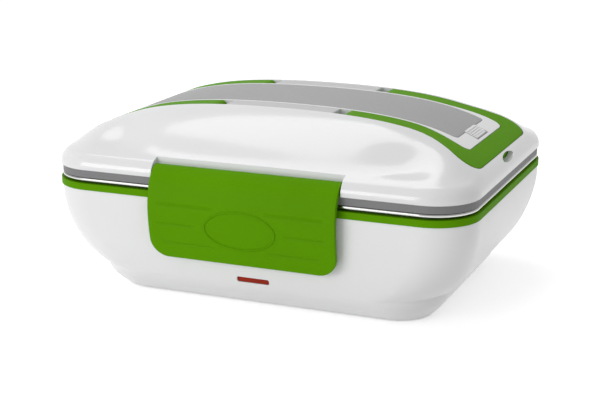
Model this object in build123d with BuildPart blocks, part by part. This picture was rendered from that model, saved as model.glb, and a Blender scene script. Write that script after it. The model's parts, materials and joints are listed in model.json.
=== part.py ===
"""Portable heated lunch box: a tapered two-part base with a heater, a steel food container,
and a crowned lid that lifts off when its two long flap latches are opened.

Millimetres. +X is to the right along the long side, -Y is the front, +Z is up.
The origin is on the surface the box stands on, under its centre.
"""

from build123d import *
import os

# ---------------------------------------------------------------- overall sizes
LENGTH = 240.0  # over the rim, end to end
WIDTH = 173.0  # over the rim, front to rear
CORNER = 25.0  # rim corner radius in plan
HALF_L = LENGTH / 2
HALF_W = WIDTH / 2

# ---------------------------------------------------------------- clearances
SEAT = 0.1  # between pieces that lift apart
SLIP = 0.4  # round pieces that swing in a recess
PIN_FIT = 0.05  # radial running clearance on every hinge pin
HELD_FIT = 0.02  # radial clearance where a pin is held fast
NEST = 0.8  # between the container and the tub round it
TOUCH = 0.05  # between pieces that rest against each other
SINK = 0.5  # how far a cutting or joining shape runs on, so faces never coincide
CUT = 1.0  # the same, where there is more room

# ---------------------------------------------------------------- heights
FOOT_PROUD = 0.8
STEP_Z = 16.0  # joint between bottom pan and base shell
RIM_Z = 60.5  # underside of the green trim
TRIM_H = 3.65
BEAD_GAP = 0.9  # dark line under the container's rolled rim
BEAD_D = 2.2
SEAL_H = 4.15
TRIM_TOP = RIM_Z + TRIM_H
BEAD_Z = TRIM_TOP + BEAD_GAP
BEAD_TOP = BEAD_Z + BEAD_D
SEAL_Z = BEAD_TOP + SEAT
LID_Z = SEAL_Z + SEAL_H

# ---------------------------------------------------------------- walls
WALL = 2.2
PAN_WALL = 2.2
LID_WALL = 2.4
TUB_WALL = 2.0
STEEL = 0.7

# ---------------------------------------------------------------- base outline
# Outline at each height: (height above or below the rim, inset at the ends, inset at the sides, radius)
SHELL_SECTIONS = [
    (RIM_Z, 0.6, 0.6, CORNER - 0.6),
    (RIM_Z - 12.5, 1.2, 1.0, CORNER + 1),
    (RIM_Z - 25.5, 5.0, 2.2, CORNER + 3),
    (STEP_Z + 8.5, 10.2, 4.4, CORNER + 6),
    (STEP_Z, 19.0, 6.8, CORNER + 9),
]
PAN_TOP_INSET = (20.0, 7.8)
PAN_SECTIONS = [
    (STEP_Z, *PAN_TOP_INSET, CORNER + 8),
    (STEP_Z - 5.5, 21.4, 11.0, CORNER + 5),
    (STEP_Z - 10.5, 24.8, 17.0, CORNER),
    (FOOT_PROUD, 29.5, 24.0, CORNER - 6),
]
STEP_LEDGE = 4.0  # height of the upright wall that the pan's lip stands in
LOW_HOLLOW_Z, LOW_HOLLOW_R = 10.0, CORNER + 3  # the base shell's hollow over that wall
LIP_INSET = (22.4, 10.2)  # outer face of the pan's locating lip
LIP_R, LIP_INNER_R, LIP_HOLE_R = CORNER + 5.9, CORNER + 4, CORNER + 6
LIP_T = 2.0
LIP_H = 3.0
LIP_NOTCH = 6.0  # the lip stops this far to each side of the lamp window
PAN_FLOOR = 2.4
FLOOR_Z = FOOT_PROUD + PAN_FLOOR

# ---------------------------------------------------------------- rim trim and tub
TRIM_BAND = 4.2  # width of the trim's full-height outer band
TRIM_SHELF_H = 1.65
TRIM_SHELF_IN = 9.0
TRIM_LIP_H = 3.0
TRIM_LIP_T = 1.6
TUB_TOP_INSET = 14.5
TUB_BASE_INSET = (33.0, 25.0)
TUB_FLOOR_Z = 20.0  # underside of the tub floor
RIB_INSET = 9.5
RIB_T = 3.0
TUB_CORNER = 16.0

# ---------------------------------------------------------------- container and side bowl
BEAD_INSET = 0.9
CONTAINER_BASE_R = 5.0
BOWL_WALL = 1.5
BOWL_H = 35.0
BOWL_LEFT = 24.0
BOWL_GAP = 1.2
BOWL_CORNER = 10.0
BOWL_BASE_R = 4.0

# ---------------------------------------------------------------- heater
PLATE_X, PLATE_Y = 118.0, 78.0
PLATE_R = 10.0
PLATE_T = 2.4
PLATE_STAND = 2.5  # the plate holds the container this far over the tub floor
PLATE_FLANGE = 4.0
ELEMENT_X, ELEMENT_Y, ELEMENT_T = 60.0, 26.0, 5.0
ELEMENT_R, STRAP_R = 1.5, 3.0  # corner radii of the element and its strap
STRAP_W, STRAP_T = 14.0, 1.5
STRAP_HALF = 56.0
STRAP_SCREW_Y = 51.0
CUTOUT_X = -46.0
CUTOUT_R, CUTOUT_H = 6.0, 5.0

# ---------------------------------------------------------------- fixings
BOSS_R = 3.6
SCREW_R = 1.5
SCREW_HEAD_R = 2.8
SCREW_HEAD_H = 1.8
HEAD_WALL = 2.0  # wall round each sunk screw head
SCREW_SEAT_T = 1.6  # floor left over each screw head
SCREW_L = 10.0
STRAP_SCREW_L = 7.0
SHANK_FIT = 0.2
PAN_SCREW_X, PAN_SCREW_Y = 74.0, 47.0
FOOT_R = 5.5
FOOT_X, FOOT_Y = 58.0, 46.0
FOOT_SUNK = 1.0

# ---------------------------------------------------------------- lamp
LAMP_Z = STEP_Z + 3.2
LAMP_W, LAMP_H = 18.4, 2.8
LAMP_X = 2.5  # the lamp sits a little right of the middle
LAMP_EDGE = 0.9  # corner radius of the window
LENS_RIM_X, LENS_RIM_Z = 2.0, 1.3  # how far the window's flange stands out behind the wall
LAMP_FIT = 0.15
LEAD_X, BULB_LEAD_X = 12.0, 5.0  # distance of each lead from the middle, at the element and at the lamp
LEAD_TURN, BULB_LEAD = 18.0, 8.0  # where a lead turns down, and its straight end, behind the lamp's axis
LEAD_BEND, BULB_LEAD_BEND = 6.0, 4.0
LAMP_FACE_Y = -(HALF_W - 6.9)  # a little sunk in the wall
LENS_FLANGE = 1.4
BULB_R = 2.0
BULB_L = 13.0

# ---------------------------------------------------------------- power inlet
INLET_Z = 34.0
INLET_FACE_X = -(HALF_L - 10.5)
INLET_HALF_Y, INLET_HALF_Z = 10.0, 6.6
INLET_FLANGE = 2.0
INLET_FLANGE_T = 1.4
INLET_CORNER = 3.0
INLET_DEPTH = 12.0
INLET_POCKET = 1.4  # free space round the flange in its recess
SOCKET_R = 4.0
SOCKET_WAIST = 5.2  # height of the slot between the two round holes
SOCKET_PITCH = 8.6
SOCKET_DEPTH = 10.5
CONTACT_R = 1.2
CONTACT_L = 8.5
TAIL_L = 2.0
WIRE_R = 0.9

# ---------------------------------------------------------------- lid crown
CROWN = 44.5  # top of the lid above the rim
END_DROPS = [(8.0, 2), (14.5, 4), (4.1, 8)]  # fall along the length to the ends, each with its power
PLATEAU = 41.0  # half-width of the middle, which is level across
SIDE_DROP, SIDE_POWER = 29.5, 1.55  # fall from there to the dome's edge
CROWN_BLEND = 1.63  # how the two falls add up: 1 adds them, more takes the larger
DOME_INSET = 3.5
LID_RIM_H = 6.8
LID_RIM_ROUND = 4.5
CROWN_STEPS = 12  # points taken each way to lay the crowned surface
CROWN_MARGIN = 2.0
PANEL_T = 2.0
PANEL_SINK = 3.4
PANEL_SINK_INSET = 20.0
PANEL_CORNER = 14.0

# ---------------------------------------------------------------- lid seal
SEAL_INSET = 1.0
SEAL_LIP = 2.4
SEAL_WEB = 1.5
SEAL_INNER = 10.4
SEAL_BEAD_INSET, SEAL_BEAD = 6.6, 1.6

# ---------------------------------------------------------------- handles and rails
HANDLE_T = 5.2
ARM_IN, ARM_OUT = 28.3, 40.0  # the arm's two faces, from the centre line
PIVOT_X = 39.0
PIVOT_R = HANDLE_T / 2
CROSS_OUT = HALF_L - 5.5  # outer edge of the crossbar
CROSS_W = 9.2
CROSS_HALF = 58.0  # half-length of the crossbar's outer edge before its corners are rounded
CROSS_IN_HALF = 34.6  # the same for its inner edge
FLARE_OUT, FLARE_IN = 38.5, 33.3  # lengths over which the two faces spread to the crossbar
FLARE_SLOPE = 0.6  # slope of the outer face where it meets the crossbar
HANDLE_ROUND = 9.0
INNER_ROUND = 5.0
GROOVE_EXTRA = 0.5  # air under the handle
CHANNEL_WALL = 2.0
RAIL_END = 31.5
PIN_R = 1.0
PIN_BLOCK_L, PIN_BLOCK_END = 9.0, 0.6  # lid material round a handle pin, and past its end
HANDLE_PIN_REACH = 1.4  # how far a handle pin runs into the lid at each side
SCOOP_HALF, SCOOP_H, SCOOP_DEPTH = 11.0, 3.6, 3.6
SCOOP_RUN = 12.0  # how far past the crossbar's edge the scoop runs out
SCOOP_RISE = 1.5  # centre of the scoop above the crossbar's underside

# ---------------------------------------------------------------- spoon compartment
COVER_HALF = 25.8
COVER_END = HALF_L - 24.0
COVER_T = 2.0
COVER_R = 3.0
TAB_L, TAB_HALF = 7.0, 10.0
BAND_T = 4.8  # thickness of the lid under and round the cover
BAND_HALF_Y = 31.0
BAND_HALF_X = HALF_L - 13.0
TRAY_HALF_X, TRAY_HALF_Y = HALF_L - 40.0, 22.5
TRAY_Z = 91.0
TRAY_WALL = 2.0
TRAY_R = 6.0
HINGE_X = -(COVER_END - 2.4)
HINGE_DROP = 3.2
BARREL_R = 1.9
COVER_PIN_R = 0.8
HINGE_SWEEP_R = 4.4
HINGE_BODY_R = 6.2
SPOON_HALF_L = 64.0
SPOON_W = 9.0
SPOON_T = 2.4
SPOON_BOWL_L, SPOON_BOWL_W, SPOON_BOWL_H = 46.0, 33.0, 7.5
SPOON_SLANT, SPOON_EDGE, SPOON_FLOOR = 6.0, 1.1, 1.5  # the bowl's slope in plan, its rim and its floor
SPOON_JOIN, SPOON_STEM_R = 1.5, 3.0  # how far the stem runs into the bowl, and its end's radius

# ---------------------------------------------------------------- latches
LATCH_HALF = 53.0
LATCH_GAP = 0.8
LATCH_CORNER = 10.0
LATCH_BOTTOM = RIM_Z - 31.0  # level with the last point of its section
LATCH_AXIS_IN = 3.8  # latch hinge axis, inwards from the rim's face
LATCH_AXIS_Z = LID_Z + 3.6
LATCH_BARREL_R = 2.8
LATCH_PIN_R = 1.25
LATCH_PIN_REACH = 2.4
POCKET_DEPTH = 7.6
POCKET_WALL = 2.0
CATCH_HALF = 46.0
CATCH_Z = RIM_Z - 14.0
CATCH_H = 3.5
CATCH_RAMP = 1.1  # bevel on the catch's upper edge
CATCH_OUT = 0.0  # the catch is flush with the rim's face, so the closed flap can pass it upwards
HOOK_SHORT = 0.3  # the hook stops this far short of the catch
HOOK_H = 2.4


def rim_rounded(inset):
    """The rim's rounded rectangle, drawn in by an inset."""
    return RectangleRounded(LENGTH - 2 * inset, WIDTH - 2 * inset, max(CORNER - inset, 2.0))


def outline(ends, sides, radius):
    """A rounded rectangle with its own insets at the ends and sides."""
    return RectangleRounded(LENGTH - 2 * ends, WIDTH - 2 * sides, radius)


def tub_inset(z):
    """Insets of the tub's outer face at a height, at the ends and at the sides."""
    share = (RIM_Z - z) / (RIM_Z - TUB_FLOOR_Z)
    return tuple(TUB_TOP_INSET + share * (low - TUB_TOP_INSET) for low in TUB_BASE_INSET)


def end_fall(x):
    """How far the lid's crown has fallen along its length."""
    return sum(drop * (abs(x) / HALF_L) ** power for drop, power in END_DROPS)


def side_fall(y):
    """How far the lid's crown has fallen across its width."""
    beyond = max(abs(y) - PLATEAU, 0) / (HALF_W - DOME_INSET - PLATEAU)
    return SIDE_DROP * beyond**SIDE_POWER


def crown(x, y):
    """Height of the lid's outer surface over a point."""
    fall = (end_fall(x) ** CROWN_BLEND + side_fall(y) ** CROWN_BLEND) ** (1 / CROWN_BLEND)
    return RIM_Z + CROWN - fall


def crown_body(drop):
    """Everything under the lid's crowned surface, lowered by a drop."""
    steps = [i / CROWN_STEPS for i in range(-CROWN_STEPS, CROWN_STEPS + 1)]
    reach_x, reach_y = HALF_L + CROWN_MARGIN, HALF_W + CROWN_MARGIN
    rows = [
        [Vector(u * reach_x, v * reach_y, crown(u * reach_x, v * reach_y) - drop) for v in steps] for u in steps
    ]
    return extrude(Face.make_surface_from_array_of_points(rows), amount=RIM_Z, dir=(0, 0, -1))


def spread(start_x, end_x, near, far, slope, radius):
    """A region from the pivots to end_x that widens from near to far, with rounded far corners."""
    third = (end_x - start_x) / 3
    edge = [(start_x, near), (start_x + third, near), (end_x - third, far - slope * third), (end_x, far)]
    with BuildSketch() as region:
        with BuildLine():
            Bezier(*edge)
            Line((end_x, far), (end_x, -far))
            Bezier(*[(x, -y) for x, y in reversed(edge)])
            Polyline((start_x, -near), (PIVOT_X, -near), (PIVOT_X, near), (start_x, near))
        make_face()
        fillet(region.vertices().group_by(Axis.X)[-1], radius=radius)
    return region.sketch


def handle_plan(grow):
    """The right handle's outline from above, grown all round, from its pivots outwards."""
    corner_grow = grow * (FLARE_SLOPE + (1 + FLARE_SLOPE**2) ** 0.5)
    cross_in = CROSS_OUT - CROSS_W
    with BuildSketch() as plan:
        spread_x = CROSS_OUT - FLARE_OUT
        cross_half = CROSS_HALF + corner_grow
        add(spread(spread_x, CROSS_OUT + grow, ARM_OUT + grow, cross_half, FLARE_SLOPE, HANDLE_ROUND + grow))
        spread_x = cross_in - FLARE_IN
        cross_half = CROSS_IN_HALF - grow
        inner = spread(spread_x, cross_in - grow, ARM_IN - grow, cross_half, 0, INNER_ROUND - grow)
        add(inner, mode=Mode.SUBTRACT)
    return plan.sketch


def cover_plan(grow):
    """The spoon cover's outline from above: a long plate with a short thumb tab at its right end."""
    with BuildSketch() as plan:
        RectangleRounded(2 * (COVER_END + grow), 2 * (COVER_HALF + grow), COVER_R)
        with Locations((COVER_END, 0)):
            Rectangle(2 * (TAB_L + grow), 2 * (TAB_HALF + grow))
    return plan.sketch


# Heights and places that follow from the values above
PAN_BOSS_TOP = FLOOR_Z + SCREW_HEAD_H
CONTAINER_Z = TUB_FLOOR_Z + TUB_WALL + PLATE_STAND
BOWL_Z = CONTAINER_Z + STEEL + 2 * SEAT
STRAP_TOP = TUB_FLOOR_Z - PLATE_T - ELEMENT_T
LAMP_FLANGE_Y = HALF_W - LIP_INSET[1] + SEAT
LAMP_DEPTH = -LAMP_FACE_Y - LAMP_FLANGE_Y + LENS_FLANGE
BULB_Y = -LAMP_FLANGE_Y + LENS_FLANGE + BULB_R + TOUCH
SCOOP_Z = crown(CROSS_OUT, 0) - HANDLE_T + SCOOP_RISE
HOOK_REACH = 3.0
LATCH_HOOK_OUT = CATCH_OUT + HOOK_SHORT + HOOK_REACH / 2
LATCH_HOOK_UP = CATCH_Z - 0.4 - HOOK_H / 2 - RIM_Z
PIVOT_Z = crown(PIVOT_X, (ARM_IN + ARM_OUT) / 2) - PIVOT_R
HINGE_Z = crown(HINGE_X, 0) - HINGE_DROP
SURFACE = crown_body(0)
TALL = 60.0  # taller than any lid detail

# ---------------------------------------------------------------- base shell
with BuildPart() as base_form:
    for z, ends, sides, radius in SHELL_SECTIONS:
        with BuildSketch(Plane.XY.offset(z)):
            outline(ends, sides, radius)
    loft()

with BuildPart() as inlet_recess:
    with BuildSketch(Plane.YZ.offset(-HALF_L)):
        with Locations((0, INLET_Z)):
            Rectangle(
                2 * (INLET_HALF_Y + INLET_FLANGE + INLET_POCKET + WALL),
                2 * (INLET_HALF_Z + INLET_FLANGE + INLET_POCKET + WALL),
            )
    extrude(amount=HALF_L + INLET_FACE_X + WALL)
    add(base_form.part, mode=Mode.INTERSECT)

with BuildPart() as latch_catch:
    with BuildSketch(Plane.YZ):
        with BuildLine():
            Polyline(
                (-HALF_W - CATCH_OUT, CATCH_Z),
                (-HALF_W - CATCH_OUT, CATCH_Z + CATCH_H - CATCH_RAMP),
                (-HALF_W + CATCH_RAMP, CATCH_Z + CATCH_H),
                (-HALF_W + WALL, CATCH_Z + CATCH_H),
                (-HALF_W + WALL, CATCH_Z),
                close=True,
            )
        make_face()
    extrude(amount=CATCH_HALF, both=True)
    mirror(about=Plane.XZ)

with BuildPart() as base_shell:
    add(base_form.part)
    inner_step = STEP_Z + STEP_LEDGE
    for z, ends, sides, radius in SHELL_SECTIONS[:3]:
        with BuildSketch(Plane.XY.offset(z + (SINK if z == RIM_Z else 0.0))):
            outline(ends + WALL, sides + WALL, radius - WALL)
    with BuildSketch(Plane.XY.offset(STEP_Z + LOW_HOLLOW_Z)):
        outline(SHELL_SECTIONS[3][1] + WALL + SLIP, SHELL_SECTIONS[3][2] + WALL, LOW_HOLLOW_R)
    with BuildSketch(Plane.XY.offset(inner_step)):
        outline(LIP_INSET[0] - SEAT, LIP_INSET[1] - SEAT, LIP_HOLE_R)
    loft(mode=Mode.SUBTRACT)
    with BuildSketch(Plane.XY.offset(STEP_Z - CUT)):
        outline(LIP_INSET[0] - SEAT, LIP_INSET[1] - SEAT, LIP_HOLE_R)
    extrude(amount=inner_step - STEP_Z + CUT, mode=Mode.SUBTRACT)
    add(inlet_recess.part)
    add(latch_catch.part)
    with BuildSketch(Plane.YZ.offset(-HALF_L - 1)):
        with Locations((0, INLET_Z)):
            RectangleRounded(
                2 * (INLET_HALF_Y + INLET_FLANGE + INLET_POCKET),
                2 * (INLET_HALF_Z + INLET_FLANGE + INLET_POCKET),
                INLET_CORNER,
            )
    extrude(amount=HALF_L + CUT + INLET_FACE_X, mode=Mode.SUBTRACT)
    with BuildSketch(Plane.YZ.offset(INLET_FACE_X - 1)):
        with Locations((0, INLET_Z)):
            Rectangle(2 * INLET_HALF_Y + 2 * SEAT, 2 * INLET_HALF_Z + 2 * SEAT)
    extrude(amount=WALL + 2, mode=Mode.SUBTRACT)
    with BuildSketch(Plane.XZ.offset(LAMP_FLANGE_Y - CUT)):
        with Locations((LAMP_X, LAMP_Z)):
            RectangleRounded(LAMP_W + 2 * LAMP_FIT, LAMP_H + 2 * LAMP_FIT, LAMP_EDGE + LAMP_FIT)
    extrude(amount=HALF_W - LAMP_FLANGE_Y + CUT, mode=Mode.SUBTRACT)

# ---------------------------------------------------------------- bottom pan
with BuildPart() as bottom_pan:
    for z, ends, sides, radius in PAN_SECTIONS:
        with BuildSketch(Plane.XY.offset(z)):
            outline(ends, sides, radius)
    loft()
    for z, ends, sides, radius in PAN_SECTIONS[:3]:
        with BuildSketch(Plane.XY.offset(z + (SINK if z == STEP_Z else 0.0))):
            outline(ends + PAN_WALL, sides + PAN_WALL, radius - PAN_WALL)
    with BuildSketch(Plane.XY.offset(FLOOR_Z)):
        outline(PAN_SECTIONS[3][1] + PAN_WALL, PAN_SECTIONS[3][2] + PAN_WALL, PAN_SECTIONS[3][3] - 2.0)
    loft(mode=Mode.SUBTRACT)
    with BuildSketch(Plane.XY.offset(STEP_Z - LIP_H)):
        outline(LIP_INSET[0], LIP_INSET[1], LIP_R)
        lip_inner = [LIP_INSET[0] + LIP_T, LIP_INSET[1] + LIP_T]
        RectangleRounded(LENGTH - 2 * lip_inner[0], WIDTH - 2 * lip_inner[1], LIP_INNER_R, mode=Mode.SUBTRACT)
    extrude(amount=2 * LIP_H)
    with BuildSketch(Plane.XY.offset(FLOOR_Z - SEAT)):
        with GridLocations(2 * PAN_SCREW_X, 2 * PAN_SCREW_Y, 2, 2):
            Circle(SCREW_HEAD_R + HEAD_WALL)
    extrude(amount=PAN_BOSS_TOP - FLOOR_Z + SEAT)
    with BuildSketch(Plane.XY.offset(FOOT_PROUD)):
        with GridLocations(2 * PAN_SCREW_X, 2 * PAN_SCREW_Y, 2, 2):
            Circle(SCREW_HEAD_R + SHANK_FIT)
    extrude(amount=PAN_BOSS_TOP - SCREW_SEAT_T - FOOT_PROUD, mode=Mode.SUBTRACT)
    with BuildSketch(Plane.XY.offset(FOOT_PROUD)):
        with GridLocations(2 * PAN_SCREW_X, 2 * PAN_SCREW_Y, 2, 2):
            Circle(SCREW_R + SHANK_FIT)
    extrude(amount=PAN_BOSS_TOP - FOOT_PROUD, mode=Mode.SUBTRACT)
    with BuildSketch(Plane.XY.offset(FOOT_PROUD)):
        with GridLocations(2 * FOOT_X, 2 * FOOT_Y, 2, 2):
            Circle(FOOT_R + SEAT)
    extrude(amount=FOOT_SUNK, mode=Mode.SUBTRACT)
    with BuildSketch(Plane.XY.offset(STEP_Z)):
        with Locations((LAMP_X, -HALF_W + LIP_INSET[1] + LIP_T / 2)):
            Rectangle(LAMP_W + 2 * LIP_NOTCH, LIP_T + 2 * SINK)
    extrude(amount=LIP_H + CUT, mode=Mode.SUBTRACT)

with BuildPart() as pan_screws:
    with BuildSketch(Plane.XY.offset(PAN_BOSS_TOP - SCREW_SEAT_T - SCREW_HEAD_H)):
        with GridLocations(2 * PAN_SCREW_X, 2 * PAN_SCREW_Y, 2, 2):
            Circle(SCREW_HEAD_R)
    extrude(amount=SCREW_HEAD_H)
    with BuildSketch(Plane.XY.offset(PAN_BOSS_TOP - SCREW_SEAT_T)):
        with GridLocations(2 * PAN_SCREW_X, 2 * PAN_SCREW_Y, 2, 2):
            Circle(SCREW_R)
    extrude(amount=SCREW_L)

with BuildPart() as feet:
    with BuildSketch():
        with GridLocations(2 * FOOT_X, 2 * FOOT_Y, 2, 2):
            Circle(FOOT_R)
    extrude(amount=FOOT_PROUD + FOOT_SUNK)

# ---------------------------------------------------------------- green rim trim
with BuildPart() as rim_trim:
    with BuildSketch(Plane.XY.offset(RIM_Z)):
        rim_rounded(0)
    extrude(amount=TRIM_H)
    with BuildSketch(Plane.XY.offset(RIM_Z + TRIM_SHELF_H)):
        rim_rounded(TRIM_BAND)
    extrude(amount=TRIM_H, mode=Mode.SUBTRACT)
    lip_inset = SHELL_SECTIONS[0][1] + WALL + SLIP
    with BuildSketch(Plane.XY.offset(RIM_Z - TRIM_LIP_H)):
        rim_rounded(lip_inset)
    extrude(amount=TRIM_LIP_H)
    with BuildSketch(Plane.XY.offset(RIM_Z - TRIM_LIP_H)):
        rim_rounded(lip_inset + TRIM_LIP_T)
    extrude(amount=TRIM_LIP_H, mode=Mode.SUBTRACT)
    with BuildSketch(Plane.XY.offset(RIM_Z - 1)):
        rim_rounded(TRIM_SHELF_IN)
    extrude(amount=TRIM_H + 2, mode=Mode.SUBTRACT)

# ---------------------------------------------------------------- inner tub
with BuildPart() as tub_hollow:
    for z in (TUB_FLOOR_Z + TUB_WALL, BEAD_TOP + 1):
        ends, sides = tub_inset(z)
        with BuildSketch(Plane.XY.offset(z)):
            outline(ends + TUB_WALL, sides + TUB_WALL, TUB_CORNER - TUB_WALL)
    loft()

with BuildPart() as inner_tub:
    for z in (TUB_FLOOR_Z, TRIM_TOP):
        ends, sides = tub_inset(z)
        with BuildSketch(Plane.XY.offset(z)):
            outline(ends, sides, TUB_CORNER)
    loft()
    with BuildSketch(Plane.XY.offset(RIM_Z + TRIM_SHELF_H)):
        rim_rounded(TRIM_BAND + SEAT)
    extrude(amount=TRIM_H - TRIM_SHELF_H)
    with BuildSketch(Plane.XY.offset(TRIM_TOP)):
        rim_rounded(RIB_INSET)
    extrude(amount=BEAD_TOP - STEEL - SEAT - TRIM_TOP)
    with BuildSketch(Plane.XY.offset(TRIM_TOP)):
        rim_rounded(RIB_INSET + RIB_T)
    extrude(amount=BEAD_D, mode=Mode.SUBTRACT)
    add(tub_hollow.part, mode=Mode.SUBTRACT)
    with BuildSketch(Plane.XY.offset(TUB_FLOOR_Z - 1)):
        RectangleRounded(PLATE_X + 2 * SEAT, PLATE_Y + 2 * SEAT, PLATE_R)
    extrude(amount=TUB_WALL + 2, mode=Mode.SUBTRACT)
    with BuildSketch(Plane.XY.offset(PAN_BOSS_TOP)):
        with GridLocations(2 * PAN_SCREW_X, 2 * PAN_SCREW_Y, 2, 2):
            Circle(BOSS_R)
    extrude(amount=TUB_FLOOR_Z + SEAT - PAN_BOSS_TOP)
    with BuildSketch(Plane.XY.offset(STRAP_TOP)):
        with GridLocations(1, 2 * STRAP_SCREW_Y, 1, 2):
            Circle(BOSS_R)
    extrude(amount=TUB_FLOOR_Z + SEAT - STRAP_TOP)
    with BuildSketch(Plane.XY.offset(PAN_BOSS_TOP)):
        with GridLocations(2 * PAN_SCREW_X, 2 * PAN_SCREW_Y, 2, 2):
            Circle(SCREW_R + HELD_FIT)
    extrude(amount=SCREW_L, mode=Mode.SUBTRACT)
    with BuildSketch(Plane.XY.offset(STRAP_TOP)):
        with GridLocations(1, 2 * STRAP_SCREW_Y, 1, 2):
            Circle(SCREW_R + HELD_FIT)
    extrude(amount=STRAP_SCREW_L, mode=Mode.SUBTRACT)

# ---------------------------------------------------------------- steel food container
with BuildPart() as container_body:
    for z in (CONTAINER_Z, BEAD_TOP):
        ends, sides = tub_inset(z)
        with BuildSketch(Plane.XY.offset(z)):
            outline(ends + TUB_WALL + NEST, sides + TUB_WALL + NEST, TUB_CORNER - TUB_WALL - NEST)
    loft()
    fillet(edges().group_by(Axis.Z)[0], radius=CONTAINER_BASE_R)

with BuildPart() as container_hollow:
    skin = TUB_WALL + NEST + STEEL
    for z in (CONTAINER_Z + STEEL, BEAD_TOP + 1):
        ends, sides = tub_inset(z)
        with BuildSketch(Plane.XY.offset(z)):
            outline(ends + skin, sides + skin, TUB_CORNER - skin)
    loft()
    fillet(edges().group_by(Axis.Z)[0], radius=CONTAINER_BASE_R - STEEL)

with BuildPart() as container:
    with BuildSketch(Plane.XY.offset(BEAD_Z)):
        rim_rounded(BEAD_INSET)
        rim_rounded_inner = BEAD_INSET + BEAD_D
        RectangleRounded(
            LENGTH - 2 * rim_rounded_inner,
            WIDTH - 2 * rim_rounded_inner,
            CORNER - rim_rounded_inner,
            mode=Mode.SUBTRACT,
        )
    extrude(amount=BEAD_D)
    fillet(edges().group_by(Axis.Z)[0] + edges().group_by(Axis.Z)[-1], radius=BEAD_D / 2 - SEAT)
    with BuildSketch(Plane.XY.offset(BEAD_TOP - STEEL)):
        rim_rounded(BEAD_INSET + BEAD_D / 2)
    extrude(amount=STEEL)
    add(container_body.part)
    add(container_hollow.part, mode=Mode.SUBTRACT)

# ---------------------------------------------------------------- side bowl
BOWL_TOP = BOWL_Z + BOWL_H
with BuildPart() as side_bowl:
    for skin, low, high in ((0.0, BOWL_Z, BOWL_TOP), (BOWL_WALL, BOWL_Z + BOWL_WALL, BOWL_TOP + SINK)):
        for z in (low, high):
            ends, sides = tub_inset(z)
            right = HALF_L - ends - TUB_WALL - NEST - STEEL - BOWL_GAP - skin
            left = BOWL_LEFT + skin
            half_y = HALF_W - sides - TUB_WALL - NEST - STEEL - BOWL_GAP - skin
            with BuildSketch(Plane.XY.offset(z)):
                with Locations(((left + right) / 2, 0)):
                    RectangleRounded(right - left, 2 * half_y, BOWL_CORNER - skin)
        loft(mode=Mode.SUBTRACT if skin else Mode.ADD)
        if not skin:
            fillet(edges().group_by(Axis.Z)[0], radius=BOWL_BASE_R)

# ---------------------------------------------------------------- heater
with BuildPart() as heater_plate:
    with BuildSketch(Plane.XY.offset(TUB_FLOOR_Z - PLATE_T)):
        RectangleRounded(PLATE_X + 2 * PLATE_FLANGE, PLATE_Y + 2 * PLATE_FLANGE, PLATE_R)
    extrude(amount=PLATE_T)
    with BuildSketch(Plane.XY.offset(TUB_FLOOR_Z)):
        RectangleRounded(PLATE_X, PLATE_Y, PLATE_R)
    extrude(amount=CONTAINER_Z - SEAT - TUB_FLOOR_Z)

with BuildPart() as heating_element:
    with BuildSketch(Plane.XY.offset(STRAP_TOP)):
        RectangleRounded(ELEMENT_X, ELEMENT_Y, ELEMENT_R)
    extrude(amount=ELEMENT_T)

with BuildPart() as clamp_strap:
    with BuildSketch(Plane.XY.offset(STRAP_TOP - STRAP_T)):
        RectangleRounded(STRAP_W, 2 * STRAP_HALF, STRAP_R)
        with GridLocations(1, 2 * STRAP_SCREW_Y, 1, 2):
            Circle(SCREW_R + SHANK_FIT, mode=Mode.SUBTRACT)
    extrude(amount=STRAP_T)

with BuildPart() as strap_screws:
    with BuildSketch(Plane.XY.offset(STRAP_TOP - STRAP_T - SCREW_HEAD_H)):
        with GridLocations(1, 2 * STRAP_SCREW_Y, 1, 2):
            Circle(SCREW_HEAD_R)
    extrude(amount=SCREW_HEAD_H)
    with BuildSketch(Plane.XY.offset(STRAP_TOP - STRAP_T)):
        with GridLocations(1, 2 * STRAP_SCREW_Y, 1, 2):
            Circle(SCREW_R)
    extrude(amount=STRAP_SCREW_L)

with BuildPart() as thermal_cutout:
    with BuildSketch(Plane.XY.offset(TUB_FLOOR_Z - PLATE_T - CUTOUT_H)):
        with Locations((CUTOUT_X, 0)):
            Circle(CUTOUT_R)
    extrude(amount=CUTOUT_H)

# ---------------------------------------------------------------- lamp
with BuildPart() as lamp_window:
    with BuildSketch(Plane.XZ.offset(-LAMP_FACE_Y)):
        with Locations((LAMP_X, LAMP_Z)):
            RectangleRounded(LAMP_W, LAMP_H, LAMP_EDGE)
    extrude(amount=-LAMP_DEPTH)
    with BuildSketch(Plane.XZ.offset(LAMP_FLANGE_Y)):
        with Locations((LAMP_X, LAMP_Z)):
            Rectangle(LAMP_W + 2 * LENS_RIM_X, LAMP_H + 2 * LENS_RIM_Z)
    extrude(amount=-LENS_FLANGE)

with BuildPart() as indicator_lamp:
    with BuildSketch(Plane.YZ.offset(LAMP_X - BULB_L / 2)):
        with Locations((BULB_Y, LAMP_Z)):
            Circle(BULB_R)
    extrude(amount=BULB_L)

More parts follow.
